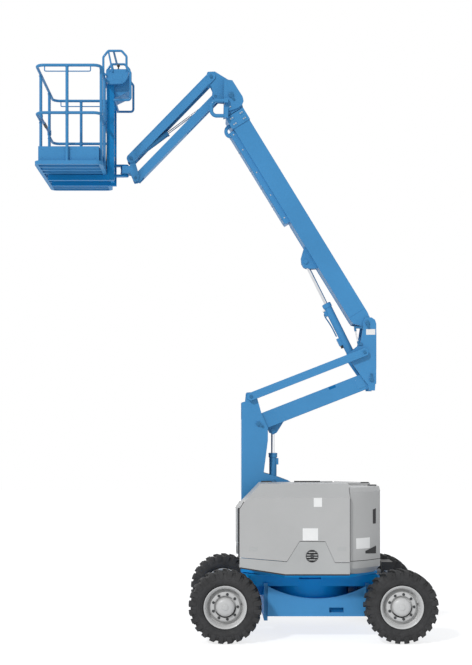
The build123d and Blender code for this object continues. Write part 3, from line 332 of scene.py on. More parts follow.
def make_floor():
    """A pale floor: white to the eye with the machine's shade on it, and a soft light from below."""
    half, z = 30, -0.001
    mesh = bpy.data.meshes.new("floor")
    mesh.from_pydata([(-half, -half, z), (half, -half, z), (half, half, z), (-half, half, z)], [], [(0, 1, 2, 3)])
    floor = place("floor", mesh)
    mat, nt, _ = new_mat("floor_white")
    nt.nodes.clear()
    eye = nt.nodes.new("ShaderNodeLightPath").outputs["Is Camera Ray"]
    diffuse, glow = nt.nodes.new("ShaderNodeBsdfDiffuse"), nt.nodes.new("ShaderNodeEmission")
    both, out = nt.nodes.new("ShaderNodeAddShader"), nt.nodes.new("ShaderNodeOutputMaterial")
    link(nt, blend(nt, eye, (0.85, 0.85, 0.85), (0.4, 0.4, 0.4)), diffuse.inputs["Color"])
    glow.inputs["Color"].default_value = (1, 1, 1, 1)
    link(nt, math_node(nt, "MULTIPLY_ADD", eye, 0.54, 0.24), glow.inputs["Strength"])
    link(nt, diffuse.outputs[0], both.inputs[0])
    link(nt, glow.outputs[0], both.inputs[1])
    link(nt, both.outputs[0], out.inputs["Surface"])
    mesh.materials.append(mat)


# ------------------------------ shapes
PIVOT = {j["name"]: Vector(j["pos_m"]) for j in frame["joints"] if j.get("pos_m")}
AXIS = {j["name"]: Vector(j["axis"]) for j in frame["joints"]}
# Faces of a box whose corners are listed with the first coordinate slowest.
CUBE = [(0, 1, 3, 2), (4, 6, 7, 5), (0, 4, 5, 1), (2, 3, 7, 6), (0, 2, 6, 4), (1, 5, 7, 3)]


def tx(x):
    """A place along x: millimetres from the turntable's axis, to metres in the frame."""
    return X0 + x / 1000


def at(x, y, z):
    """A place given in millimetres from the turntable's axis on the ground."""
    return Vector((tx(x), y / 1000, z / 1000))


def across(side, a, b):
    """Two distances from the middle as y on one side, the lower first."""
    return sorted((side * a, side * b))


class Kit:
    """Collects simple solids into one mesh."""

    def __init__(self):
        self.bm = bmesh.new()

    def _add(self, verts, faces):
        vs = [self.bm.verts.new(v) for v in verts]
        for f in faces:
            self.bm.faces.new([vs[i] for i in f])
        return self

    def box(self, lo, hi):
        return self._add([(x, y, z) for x in (lo[0], hi[0]) for y in (lo[1], hi[1]) for z in (lo[2], hi[2])], CUBE)

    def side_box(self, x0, x1, y0, y1, z0, z1):
        """The same box on both sides of the machine; y counts from its middle."""
        for s in SIDES:
            a, b = across(s, y0, y1)
            self.box((x0, a, z0), (x1, b, z1))
        return self

    def slab(self, outline, axis, a, b):
        """A closed outline extruded along axis "x" or "y" from a to b (metres)."""
        n = len(outline)
        pts = [{"x": (w, u, v), "y": (u, w, v)}[axis] for w in (a, b) for u, v in outline]
        faces = [tuple(range(n)), tuple(range(2 * n - 1, n - 1, -1))]
        faces += [(i, n + i, n + (i + 1) % n, (i + 1) % n) for i in range(n)]
        return self._add(pts, faces)

    def spin(self, profile, origin, axis, seg=32, closed=False):
        """A profile of (along, radius) turned about an axis; radius 0 makes a pole."""
        origin, axis = Vector(origin), Vector(axis).normalized()
        side = axis.orthogonal().normalized()
        other = axis.cross(side)
        turns = [2 * math.pi * k / seg for k in range(seg)]
        rings = []
        for a, r in profile:
            spokes = [(side * math.cos(t) + other * math.sin(t)) * r for t in turns] if r > 1e-7 else [Vector()]
            rings.append([self.bm.verts.new(origin + axis * a + spoke) for spoke in spokes])
        for p, q in zip(rings, rings[1:] + (rings[:1] if closed else [])):
            for k in range(seg):
                m = (k + 1) % seg
                f = [p[k % len(p)], p[m % len(p)], q[m % len(q)], q[k % len(q)]]
                f = [v for i, v in enumerate(f) if v not in f[:i]]
                if len(f) > 2:
                    self.bm.faces.new(f)
        return self

    def cyl(self, p, q, r, seg=24, soft=0.12):
        """A round bar from p to q with softened ends."""
        p, q = Vector(p), Vector(q)
        h = (q - p).length
        c = min(r * soft, h * 0.3)
        return self.spin([(0, 0), (0, r - c), (c, r), (h - c, r), (h, r - c), (h, 0)], p, q - p, seg)

    def pipe(self, p, q, r_in, r_out, seg=32):
        p, q = Vector(p), Vector(q)
        h = (q - p).length
        return self.spin([(0, r_in), (0, r_out), (h, r_out), (h, r_in)], p, q - p, seg, closed=True)

    def nut(self, p, way, r, h, washer=True):
        """A hexagon head with a washer and a stud end."""
        if washer:
            self.spin([(0, 0), (0, r * 1.35), (h * 0.18, r * 1.35), (h * 0.18, 0)], p, way, 20)
        self.spin([(h * 0.15, 0), (h * 0.15, r), (h * 0.85, r), (h, r * 0.82), (h, 0)], p, way, 6)
        stud = [(h * 0.9, 0), (h * 0.9, r * 0.42), (h * 1.25, r * 0.42), (h * 1.35, r * 0.3), (h * 1.35, 0)]
        return self.spin(stud, p, way, 12)

    def bead(self, p, q, r):
        """A thin straight run of weld."""
        return self.cyl(p, q, r, 6, 0.3)

    def make(self, name, mat, body, bevel=0.0, smooth=35):
        bmesh.ops.recalc_face_normals(self.bm, faces=self.bm.faces)
        mesh = bpy.data.meshes.new(name)
        self.bm.to_mesh(mesh)
        self.bm.free()
        obj = place(name, mesh)
        mesh.materials.append(M[mat])
        for poly in mesh.polygons:
            poly.use_smooth = True
        mesh.set_sharp_from_angle(angle=math.radians(smooth))
        if bevel:
            mod = obj.modifiers.new("edges", "BEVEL")
            mod.width, mod.segments, mod.limit_method, mod.angle_limit = bevel, 2, "ANGLE", math.radians(40)
        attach(obj, body)
        return obj


def hose(name, points, r, body, mat="hose"):
    """A hose on one smooth curve through its guides."""
    data = bpy.data.curves.new(name, "CURVE")
    data.dimensions = "3D"
    sp = data.splines.new("NURBS")
    sp.points.add(len(points) - 1)
    for k, p in enumerate(points):
        sp.points[k].co = (*p, 1)
    sp.order_u = 3
    sp.use_endpoint_u = True
    sp.resolution_u = 8
    data.bevel_depth, data.bevel_resolution = r, 4
    data.use_fill_caps = True
    obj = place(name, data)
    data.materials.append(M[mat])
    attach(obj, body)


class Way:
    """A straight member seen from the side: u along it, n to its upper side, y across, in millimetres.

    Radii and the sizes of nuts and welds are in metres.
    """

    def __init__(self, start, toward):
        self.o = Vector(start)
        self.u = Vector(toward).normalized()
        self.n = Vector((0, 1, 0)).cross(self.u)
        if self.n.z < 0:
            self.n = -self.n

    def p(self, u, n, y):
        return self.o + self.u * (u / 1000) + self.n * (n / 1000) + Vector((0, y / 1000, 0))

    def box(self, kit, u0, u1, n0, n1, y0, y1):
        return kit._add([self.p(u, n, y) for u in (u0, u1) for y in (y0, y1) for n in (n0, n1)], CUBE)

    def side_boxes(self, kit, u0, u1, n0, n1, y0, y1):
        for s in SIDES:
            self.box(kit, u0, u1, n0, n1, *across(s, y0, y1))
        return kit

    def side_nuts(self, kit, us, ns, y, r, h):
        """Nuts on both sides, at every u and n."""
        for s in SIDES:
            for u in us:
                for n in ns:
                    kit.nut(self.p(u, n, s * y), (0, s, 0), r, h)
        return kit

    def side_beads(self, kit, *runs):
        """Welds on both sides: u and n at each end, y, radius."""
        for s in SIDES:
            for u0, n0, u1, n1, y, r in runs:
                kit.bead(self.p(u0, n0, s * y), self.p(u1, n1, s * y), r)
        return kit

    def ring_nuts(self, kit, u, radius):
        """Six small nuts in a ring on the end face of a cylinder; the ring's radius in millimetres."""
        for k in range(6):
            t = 2 * math.pi * k / 6
            kit.nut(self.p(u, radius * math.sin(t), radius * math.cos(t)), self.u, 0.004, 0.003)
        return kit

    def sleeve(self, kit, u0, u1, r_in, r_out, seg=40):
        """A ring about the member's line."""
        return kit.pipe(self.p(u0, 0, 0), self.p(u1, 0, 0), r_in, r_out, seg)


BOOM = Way(PIVOT["primary_lift"], AXIS["boom_extend"])
LIFT = Way(PIVOT["lift_cylinder_swing"], AXIS["lift_cylinder_stroke"])
LIFTER = Way(PIVOT["riser_cylinder_swing"], AXIS["riser_cylinder_stroke"])
RISER_RUN = PIVOT["riser_lift"] - PIVOT["mid_knuckle_level"]
RISER = Way(PIVOT["mid_knuckle_level"], RISER_RUN)
RISER_LENGTH = RISER_RUN.length * 1000
JIB_RUN = PIVOT["end_bracket_level"] - PIVOT["jib_lift"]
JIB = Way(PIVOT["jib_lift"], JIB_RUN)
JIB_LOW = Way(PIVOT["jib_link_swing"], JIB_RUN)
JIB_LENGTH = JIB_RUN.length * 1000
JIB_CYL = Way(PIVOT["jib_cylinder_swing"], AXIS["jib_cylinder_stroke"])
TIE_HEAD = PIVOT["mid_knuckle_level"] + (PIVOT["tie_link_swing"] - PIVOT["riser_lift"])


# ------------------------------ wheels
LUGS, GRIPS, NUTS = 24, 48, 9
LUG_R = 0.39  # a lug's widths and sweep are measured round this radius
# Half of the tyre's section: (outward from its middle, radius), from the bead over the wall to the crown.
TYRE_WALL = [
    (0.098, 0.221), (0.104, 0.226), (0.1, 0.234), (0.112, 0.243), (0.1235, 0.256), (0.1225, 0.262),
    (0.1285, 0.267), (0.131, 0.285), (0.1315, 0.302), (0.129, 0.306), (0.1295, 0.311), (0.125, 0.33),
    (0.117, 0.35), (0.104, 0.364), (0.06, 0.3705), (0.0, 0.372)]
# Sections of a lug: (outward from the middle, radius of its foot, of its top, sweep, half its width).
LUG_ROWS = [
    (0.004, 0.362, 0.3915, 0.03, 0.0145), (0.03, 0.362, 0.3925, 0.02, 0.019),
    (0.072, 0.358, 0.3922, 0.004, 0.024), (0.108, 0.348, 0.3895, 0.0, 0.027),
    (0.1235, 0.335, 0.382, 0.0, 0.0275), (0.1312, 0.318, 0.362, 0.0, 0.0265),
    (0.1316, 0.308, 0.33, 0.0, 0.0225)]
# Half section of a rim: (outward from its middle, radius), from the hub's crown round to the spindle's bore.
RIM_PROFILE = [
    (0.118, 0.0), (0.1195, 0.008), (0.1195, 0.027), (0.1175, 0.031), (0.1125, 0.033), (0.112, 0.046),
    (0.109, 0.066), (0.103, 0.083), (0.092, 0.095), (0.078, 0.1005), (0.056, 0.1015), (0.03, 0.102),
    (0.03, 0.117), (0.0545, 0.118), (0.056, 0.12), (0.056, 0.148), (0.052, 0.156), (0.034, 0.168),
    (0.014, 0.177), (0.006, 0.184), (0.006, 0.1905), (0.012, 0.1935), (0.04, 0.1945), (0.043, 0.199),
    (0.066, 0.1995), (0.069, 0.204), (0.088, 0.2045), (0.092, 0.209), (0.101, 0.21), (0.106, 0.2145),
    (0.111, 0.2195), (0.1135, 0.225), (0.112, 0.23), (0.107, 0.23), (0.103, 0.222), (0.1, 0.2097),
    (0.06, 0.2094), (0.05, 0.2), (-0.07, 0.2), (-0.08, 0.2094), (-0.1, 0.2097), (-0.103, 0.222), (-0.107, 0.23),
    (-0.112, 0.23), (-0.1135, 0.225), (-0.106, 0.212), (-0.086, 0.204), (-0.078, 0.195), (0.0, 0.1945),
    (-0.004, 0.186), (0.004, 0.176), (0.024, 0.165), (0.044, 0.15), (0.044, 0.122), (0.022, 0.121),
    (0.022, 0.08), (-0.026, 0.078), (-0.026, 0.0455), (0.074, 0.0455), (0.074, 0.0)]


def tyre_mesh():
    """Rough-terrain tyre about the origin: bead, bulged walls with ribs, curved shoulder lugs."""
    kit = Kit()
    section = [(-a, r) for a, r in TYRE_WALL] + [(a, r) for a, r in reversed(TYRE_WALL[:-1])]
    kit.spin(section, (0, 0, 0), (0, 1, 0), 96, closed=True)
    for i in range(LUGS):
        for half, turn in ((1, 0.0), (-1, 0.5)):
            mid = 2 * math.pi * (i + turn) / LUGS
            rows = []
            for y, r_low, r_top, lean, w in LUG_ROWS:
                row = []
                for t, r in ((-w * 1.15, r_low), (-w, r_top), (w, r_top), (w * 1.15, r_low)):
                    a = mid + (t + lean * half) / LUG_R
                    row.append(kit.bm.verts.new((r * math.sin(a), y * half, r * math.cos(a))))
                rows.append(row)
            for p, q in zip(rows, rows[1:]):
                for k in range(3):
                    kit.bm.faces.new((p[k], p[k + 1], q[k + 1], q[k]))
            kit.bm.faces.new(rows[0])
            kit.bm.faces.new(rows[-1])
    # Moulded grip marks round the wall's foot, open on the side that lies in the wall.
    for s in SIDES:
        out = Vector((0, s, 0))
        for i in range(GRIPS):
            a = 2 * math.pi * i / GRIPS
            rad, tan = Vector((math.sin(a), 0, math.cos(a))), Vector((math.cos(a), 0, -math.sin(a)))
            pts = [rad * (0.285 + u * 0.009) + tan * v * 0.0022 + out * w
                   for w in (0.129, 0.1319) for u in (-1, 1) for v in (-1, 1)]
            kit._add(pts, CUBE[1:])
    return kit


def hub_shadow_crescent(kit, centre, out):
    """A painted shadow: a dark C round the hub where the hub's shade falls, narrowed to its ends."""
    steps, r = 32, 0.1095
    pts = []
    for k in range(steps + 1):
        t = math.radians(-152 + 150 * k / steps)
        w = 0.0065 * min(1.0, 4 * min(k, steps - k) / steps + 0.25)
        for a, b in ((0.0505, r - w), (0.0505, r + w), (0.046, r + w), (0.046, r - w)):
            pts.append(centre + Vector((b * math.cos(t), 0, b * math.sin(t))) + out * a)
    faces = [(4 * k + i, 4 * k + (i + 1) % 4, 4 * k + 4 + (i + 1) % 4, 4 * k + 4 + i)
             for k in range(steps) for i in range(4)]
    last = 4 * steps
    return kit._add(pts, faces + [(0, 1, 2, 3), (last + 3, last + 2, last + 1, last)])


def wheels():
    for end in ("front", "rear"):
        for side, name in SIDE_NAMES:
            tag = f"{end}_{name}"
            lo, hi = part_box(f"tyre_{tag}")
            centre = (Vector(lo) + Vector(hi)) / 2
            body = f"wheel_{tag}"
            out = Vector((0, side, 0))
            kit = tyre_mesh()
            bmesh.ops.translate(kit.bm, verts=kit.bm.verts, vec=centre)
            tyre = kit.make(f"tyre_tread_{tag}", "tyre", body, bevel=0.0022, smooth=38)
            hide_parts(f"tyre_{tag}")
            rim = Kit().spin(RIM_PROFILE, centre, out, 96).make(f"rim_dish_{tag}", "rim", body, smooth=28)
            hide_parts(f"rim_{tag}")
            nuts, seats = Kit(), Kit()
            for k in range(NUTS):
                a = 2 * math.pi * k / NUTS
                p = centre + Vector((0.134 * math.cos(a), 0, 0.134 * math.sin(a))) + out * 0.0555
                seats.cyl(p, p + out * 0.0025, 0.015, 20)
                nuts.nut(p + out * 0.0015, out, 0.0115, 0.011)
            # The nuts are dark, partly their own colour and partly painted shade of the recesses round them.
            nuts.make(f"wheel_nuts_{tag}", "dark_steel", body, bevel=0.0008)
            seats.make(f"nut_seats_{tag}", "zinc", body)
            # The hub's painted shadow, drawn in the black seal rubber.
            hub_shadow_crescent(Kit(), centre, out).make(f"hub_shadow_crescent_{tag}", "rubber", body)
            p = centre + Vector((0.176, 0, 0.03)) + out * 0.004
            valve = Kit().cyl(p, p + out * 0.05, 0.004, 12).cyl(p + out * 0.046, p + out * 0.06, 0.0055, 12)
            valve.make(f"valve_{tag}", "black", body)


# ------------------------------ pins and keepers
LEG_PIN = (74, 18, None, 0.3)  # the lower jib arm's pins are low, so that they clear the upper arm


def pin_cap(kit, point, y, r, keeper=None, tall=1.0):
    """The end of a pivot pin: a chamfered head with a centre mark and its bolted keeper plate.

    y and r are in millimetres, keeper points from the pin to the plate, tall scales the head's height.
    """
    s = 1 if y > 0 else -1
    p = Vector(point) + Vector((0, y / 1000, 0))
    way = Vector((0, s, 0))
    r /= 1000
    crown = [(0, 1.02), (0.004, 1.02), (0.0065, 0.86), (0.0065, 0.22), (0.004, 0.12), (0.004, 0)]
    kit.spin([(a * tall, r * b) for a, b in crown], p, way, 28)
    if keeper is not None:
        k = Vector(keeper).normalized()
        c = p + k * (r + 0.017)
        side = k.cross(way)
        pts = [c + k * a * 0.024 + side * b * 0.012 + way * w for w in (0.0, 0.0045) for a in SIDES for b in SIDES]
        kit._add(pts, CUBE)
        kit.nut(c + k * 0.01 + way * 0.0045, way, 0.006, 0.006)


def pins():
    # piece, body, its pins: pivot, y of the head, radius, way to the keeper, height of the head
    for name, body, spots in (
            ("riser_tower_pins", "turntable", [(PIVOT["riser_lift"], 162, 25, (1, 0, -0.6)),
                                               (PIVOT["riser_cylinder_swing"], 162, 25, (0, 0, -1)),
                                               (PIVOT["tie_link_swing"], 208, 18)]),
            ("knuckle_pins", "mid_knuckle", [(PIVOT["mid_knuckle_level"], 162, 25, (0, 0, 1)),
                                             (PIVOT["primary_lift"], 162, 25, (0.3, 0, -1)),
                                             (PIVOT["lift_cylinder_swing"], 150, 25, (1, 0, 0.2)),
                                             (TIE_HEAD, 208, 18)]),
            ("nose_pins", "extension", [(PIVOT["bell_crank_level"], 149, 30, (0.6, 0, -1))]),
            ("bell_crank_pins", "bell_crank", [(PIVOT["jib_lift"], 93, 18), (PIVOT["jib_link_swing"], *LEG_PIN)]),
            ("bracket_pins", "end_bracket", [(PIVOT["end_bracket_level"], 93, 18),
                                             (JIB_LOW.p(JIB_LENGTH, 0, 0), *LEG_PIN)])):
        kit = Kit()
        for point, y, *more in spots:
            for s in SIDES:
                pin_cap(kit, point, s * y, *more)
        kit.make(name, "pin_blue", body, bevel=0.0006)


# ------------------------------ platform
DECK = 0.04  # top of the floor above its lowest edge
TOE_INSET = 0.041  # the toe-boards' outer faces, inside the floor's edge
RAIL_R = 0.016
MID_RAIL = 5.703
MAST_X = tx(-2262)  # the mast's face toward the operators


def platform_details():
    (fx0, fy0, fz0), (fx1, fy1, top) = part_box("platform_floor")
    deck = fz0 + DECK
    # Tread plate: raised lozenges in two directions.
    kit = Kit()
    columns, rows, edge = 17, 34, 0.03
    lozenge = ((-0.013, 0, 0), (0, -0.004, 0), (0.013, 0, 0), (0, 0.004, 0), (-0.006, 0, 0.0022), (0.006, 0, 0.0022))
    for j in range(rows):
        for i in range(columns):
            x = fx0 + edge + (i + 0.5) * (fx1 - fx0 - 2 * edge) / columns
            y = fy0 + edge + (j + 0.5) * (fy1 - fy0 - 2 * edge) / rows
            a = math.radians(45 if (i + j) % 2 else -45)
            c, d = math.cos(a), math.sin(a)
            kit._add([(x + c * u - d * v, y + d * u + c * v, deck + w) for u, v, w in lozenge],
                     [(0, 1, 4), (1, 5, 4), (1, 2, 5), (2, 3, 5), (3, 4, 5), (3, 0, 4)])
    kit.make("tread_lozenges", "blue_dusty", "platform", smooth=20)
    # Folded lips of the toe-boards, inward, and bolts.
    xa, xb, ty = fx0 + TOE_INSET, fx1 - TOE_INSET, fy1 - TOE_INSET
    z0, z1 = top - 0.004, top - 0.0005
    kit = Kit().side_box(xa + 0.004, xb - 0.004, ty - 0.0035, ty - 0.018, z0, z1)
    kit.box((xa + 0.0035, -ty + 0.02, z0), (xa + 0.018, ty - 0.02, z1))
    kit.box((xb - 0.018, -ty + 0.02, z0), (xb - 0.0035, ty - 0.02, z1))
    kit.make("toe_board_lips", "blue", "platform", bevel=0.001)
    kit = Kit()
    for s in SIDES:
        for x in (xa + 0.04, xa + 0.3, xb - 0.3, xb - 0.04):
            for z in (deck + 0.035, top - 0.03):
                kit.nut((x, s * ty, z), (0, s, 0), 0.0055, 0.003)
    kit.make("toe_board_bolts", "blue", "platform")
    # Pressings along the floor's underside, but none at the mast's two feet.
    kit = Kit()
    for k in range(13):
        y = fy0 + 0.09 + k * (fy1 - fy0 - 0.18) / 12
        if abs(abs(y) - 0.155) >= 0.045:
            trough = ((-0.018, 0.033), (-0.01, 0.012), (0.01, 0.012), (0.018, 0.033))
            kit.slab([(y + dy, fz0 + dz) for dy, dz in trough], "x", fx0 + 0.045, fx1 - 0.045)
    kit.make("floor_pressings", "blue", "platform", bevel=0.002)
    # Thin rods hung below the long top rails, and collars where posts meet floor and rails.
    (rx0, ry0, _), (rx1, ry1, rz1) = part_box("platform_rails")
    rail = rz1 - RAIL_R
    xa, xb = rx0 + 0.108, rx1 - 0.124
    drop = [(xa, 0.01), (xa, 0.035), (xa, 0.062), (xa + 0.012, 0.066), (xa + 0.06, 0.066),
            (xb - 0.06, 0.066), (xb - 0.012, 0.066), (xb, 0.062), (xb, 0.035), (xb, 0.01)]
    for y, (_, name) in zip((ry0 + RAIL_R, ry1 - RAIL_R), SIDE_NAMES):
        hose(f"rail_rod_{name}", [(x, y, rail - z) for x, z in drop], 0.0062, "platform", "blue")
    kit = Kit()
    xa, xb, xm, yo = rx0 + RAIL_R, rx1 - RAIL_R, tx(-2645), ry1 - RAIL_R
    foot = [(0, 0.0172), (0, 0.0217), (0.004, 0.0217), (0.009, 0.0178), (0.009, 0.0172)]
    for x, y in ((xa, -0.35), (xa, 0.35), (xm, -yo), (xm, yo), (xb, -0.62), (xb, -0.23), (xb, 0.23), (xb, 0.62)):
        kit.spin(foot, (x, y, deck + 0.0003), UP, 20, closed=True)
        kit.spin([(0, 0.0172), (0.004, 0.0205), (0.01, 0.0215), (0.013, 0.0175)], (x, y, rail - 0.0225), UP, 20)
        for d in SIDES:
            collar = [(0, 0.0172), (0, 0.0195), (0.005, 0.0195), (0.009, 0.0172)]
            kit.spin(collar, (x, y, MID_RAIL + d * 0.017), (0, 0, d), 20)
    kit.make("post_welds", "blue", "platform")
    # Hand grip of the entry bar.
    (ex0, _, ez0), (ex1, _, ez1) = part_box("entry_bar")
    grip = [(-0.09, 0.0142), (-0.088, 0.0175)]
    for k in range(9):
        grip += [(-0.08 + k * 0.0195, 0.0185), (-0.072 + k * 0.0195, 0.0168)]
    kit = Kit().spin(grip + [(0.088, 0.0175), (0.09, 0.0142)], ((ex0 + ex1) / 2, 0, (ez0 + ez1) / 2), (0, 1, 0), 24)
    kit.make("entry_grip", "black", "entry_bar", bevel=0.0005)


def console_details():
    (cx0, cy0, _), (_, cy1, top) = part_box("control_console")
    # Face plate with its rim, on the console's flat top.
    kit = Kit().box((tx(-2230), cy0 + 0.012, top - 0.002), (tx(-2036), cy1 - 0.012, top + 0.004))
    kit.make("console_face", "black", "platform", bevel=0.0015)
    kit = Kit().box((tx(-2226), cy0 + 0.02, top + 0.0035), (tx(-2040), cy1 - 0.02, top + 0.0052))
    kit.make("console_panel", "grey_steel", "platform", bevel=0.0006)
    # Two joysticks with bellows, rocker switches, lamps and the stop button.
    sticks = Kit()
    xm, face = tx(-2134), top + 0.005
    bellows = [(0.0, 0.034), (0.004, 0.035)]
    for k in range(5):
        bellows += [(0.006 + k * 0.005, 0.033 - k * 0.0052), (0.009 + k * 0.005, 0.027 - k * 0.0045)]
    handle = [(0.03, 0.0), (0.03, 0.0065), (0.046, 0.0075), (0.05, 0.014), (0.056, 0.0175), (0.066, 0.018),
              (0.073, 0.0145), (0.078, 0.008), (0.079, 0.0)]
    for y in (-0.13, 0.13):
        sticks.spin(bellows + [(0.034, 0.008)], (xm, y, face), UP, 28)
        sticks.spin(handle, (xm, y, face), UP, 24)
    rocker = [(xm - x, top + z) for x, z in (
        (0.041, 0.011), (0.041, 0.0165), (0.03, 0.0135), (0.019, 0.0125), (0.019, 0.011))]
    for y in (-0.06, -0.03, 0.0, 0.03, 0.06):
        sticks.box((xm - 0.045, y - 0.009, face), (xm - 0.015, y + 0.009, top + 0.0115))
        sticks.slab(rocker, "y", y - 0.0065, y + 0.0065)
        sticks.cyl((xm + 0.035, y, face), (xm + 0.035, y, top + 0.01), 0.006, 16)
    sticks.make("console_controls", "black", "platform", bevel=0.0008)
    stop = [(0, 0.011), (0.006, 0.011), (0.008, 0.021), (0.014, 0.0215), (0.019, 0.017), (0.021, 0.007), (0.0213, 0)]
    Kit().spin(stop, (xm + 0.03, 0.185, face), UP, 32).make("console_stop", "red", "platform")
    # Side bolts of the box, and the hinge of its lid.
    kit = Kit()
    for s in SIDES:
        for x, z in ((-2235, 6180), (-2225, 6290), (-2040, 6295), (-2090, 6175)):
            kit.nut(at(x, s * 230.2, z), (0, s, 0), 0.006, 0.005)
    for y in (-0.16, 0.0, 0.16):
        kit.cyl((cx0 + 0.004, y - 0.03, top - 0.006), (cx0 + 0.004, y + 0.03, top - 0.006), 0.006, 14)
    kit.make("console_bolts", "blue", "platform")
    kit = Kit().side_box(tx(-2190), tx(-2080), 0.23, 0.2312, 6.195, 6.275)
    kit.make("console_blank_plates", "blue", "platform", bevel=0.0005)
    # Document box and socket on the mast's inner side; both outlines go down from MAST_X as (inward, z).
    pocket = [(0.045, 5.76), (0.055, 5.99), (0.049, 5.992), (0.002, 5.992), (0.002, 5.76)]
    kit = Kit().slab([(MAST_X - x, z) for x, z in pocket], "y", -0.12, 0.12)
    kit.box((MAST_X - 0.057, -0.124, 5.962), (MAST_X - 0.002, 0.124, 5.996))
    kit.box((MAST_X - 0.062, -0.018, 5.95), (MAST_X - 0.05, 0.018, 5.975))
    kit.make("document_box", "blue", "platform", bevel=0.003)
    flap = [(0.056, 5.82), (0.062, 5.83), (0.062, 5.875), (0.05, 5.888), (0.05, 5.82)]
    kit = Kit().box((MAST_X - 0.05, 0.145, 5.8), (MAST_X - 0.004, 0.215, 5.9))
    kit.slab([(MAST_X - x, z) for x, z in flap], "y", 0.153, 0.207)
    kit.make("power_socket", "black", "platform", bevel=0.002)
    # Foot switch with its guard on the floor, and its lead up the mast.
    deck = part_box("platform_floor")[0][2] + DECK
    fx = tx(-2420)
    pedal = [(-0.11, 0.0025), (-0.11, 0.02), (-0.06, 0.045), (0.05, 0.05), (0.06, 0.0025)]
    guard = [(-0.1, 0.095), (-0.1, 0.1), (0.065, 0.112), (0.075, 0.09), (0.075, 0.003), (0.07, 0.003),
             (0.069, 0.088), (0.06, 0.106)]
    kit = Kit().slab([(fx + x, deck + z) for x, z in pedal], "y", 0.1, 0.21)
    kit.make("foot_switch", "black", "platform", bevel=0.004)
    kit = Kit().slab([(fx + x, deck + z) for x, z in guard], "y", 0.092, 0.218)
    kit.make("foot_switch_guard", "yellow", "platform", bevel=0.0012)
    lead = [(fx + 0.055, 0.155, deck + 0.02), (fx + 0.09, 0.155, deck + 0.02), (fx + 0.105, 0.12, deck + 0.03),
            (MAST_X - 0.03, 0.08, deck + 0.1), (MAST_X - 0.018, 0.07, deck + 0.3), (MAST_X - 0.016, 0.07, 5.74)]
    hose("foot_switch_lead", lead, 0.0055, "platform")
    # Washers of the lanyard anchor holes.
    kit = Kit()
    for s in SIDES:
        p = at(-2196.6, s * 75, 5375)
        kit.pipe(p, p + Vector((0.004, 0, 0)), 0.0146, 0.026, 28)
    kit.make("anchor_washers", "zinc", "platform", bevel=0.0006)


# ------------------------------ jib
JIB_HOSE_YS = (-56, -40)
CLAMP_US = (160, 470, 780, 1090)
ROTATOR_FLANGE = 5.268


def jib_details():
    kit = JIB.side_nuts(Kit(), (38, JIB_LENGTH - 38), (-34, 34), 85, 0.0045, 0.004)
    JIB.side_beads(kit, (80, 41, JIB_LENGTH - 80, 41, 85.2, 0.0022))
    kit.make("jib_upper_welds", "blue", "jib_upper")
    kit = Kit()
    for u0, u1 in ((70, 200), (JIB_LENGTH - 190, JIB_LENGTH - 70)):
        JIB.side_boxes(kit, u0, u1, -44, 34, 85, 89)
    kit.make("jib_doubler_plates", "blue", "jib_upper", bevel=0.002)
    # Hoses in clips under the upper arm's web.
    for k, y in enumerate(JIB_HOSE_YS):
        guides = ((84, 20), (120, 30), (400, 31), (700, 31), (1000, 31),
                  (JIB_LENGTH - 260, 30), (JIB_LENGTH - 215, 24))
        hose(f"jib_hose_{k}", [JIB.p(u, n, y) for u, n in guides], 0.0075, "jib_upper")
    kit = Kit()
    for u in CLAMP_US:
        JIB.box(kit, u - 11, u + 11, 20, 42, -66, -30)
    kit.make("jib_hose_clamps", "blue", "jib_upper", bevel=0.002)
    # Cylinder: gland ring, foot ring and ports.
    kit = JIB_CYL.sleeve(Kit(), 494, 513, 0.0145, 0.0365, 36)
    JIB_CYL.sleeve(kit, 44, 56, 0.031, 0.0345, 36)
    kit.make("jib_gland", "blue", "jib_barrel", bevel=0.0012)
    kit = Kit()
    for u in (75, 470):
        kit.cyl(JIB_CYL.p(u, 30, 0), JIB_CYL.p(u, 36, 0), 0.009, 16)
        kit.nut(JIB_CYL.p(u, 35, 0), JIB_CYL.n, 0.01, 0.004, False)
    kit.make("jib_ports", "zinc", "jib_barrel")
    # Rotator: bolted flange and collars.
    kit = Kit()
    c = PIVOT["platform_rotate"]
    for k in range(8):
        t = 2 * math.pi * k / 8
        kit.nut((c.x + 0.044 * math.cos(t), c.y + 0.044 * math.sin(t), ROTATOR_FLANGE), UP, 0.004, 0.004)
    for z in (5196, 5257):
        kit.pipe(at(-2062, 0, z - 4), at(-2062, 0, z + 4), 0.0555, 0.059, 36)
    kit.make("rotator_bolts", "blue", "end_bracket", bevel=0.0008)


# ------------------------------ primary boom
TRAY_U, TRAY_PITCH, TRAY_COVERS = 1450, 238, 5


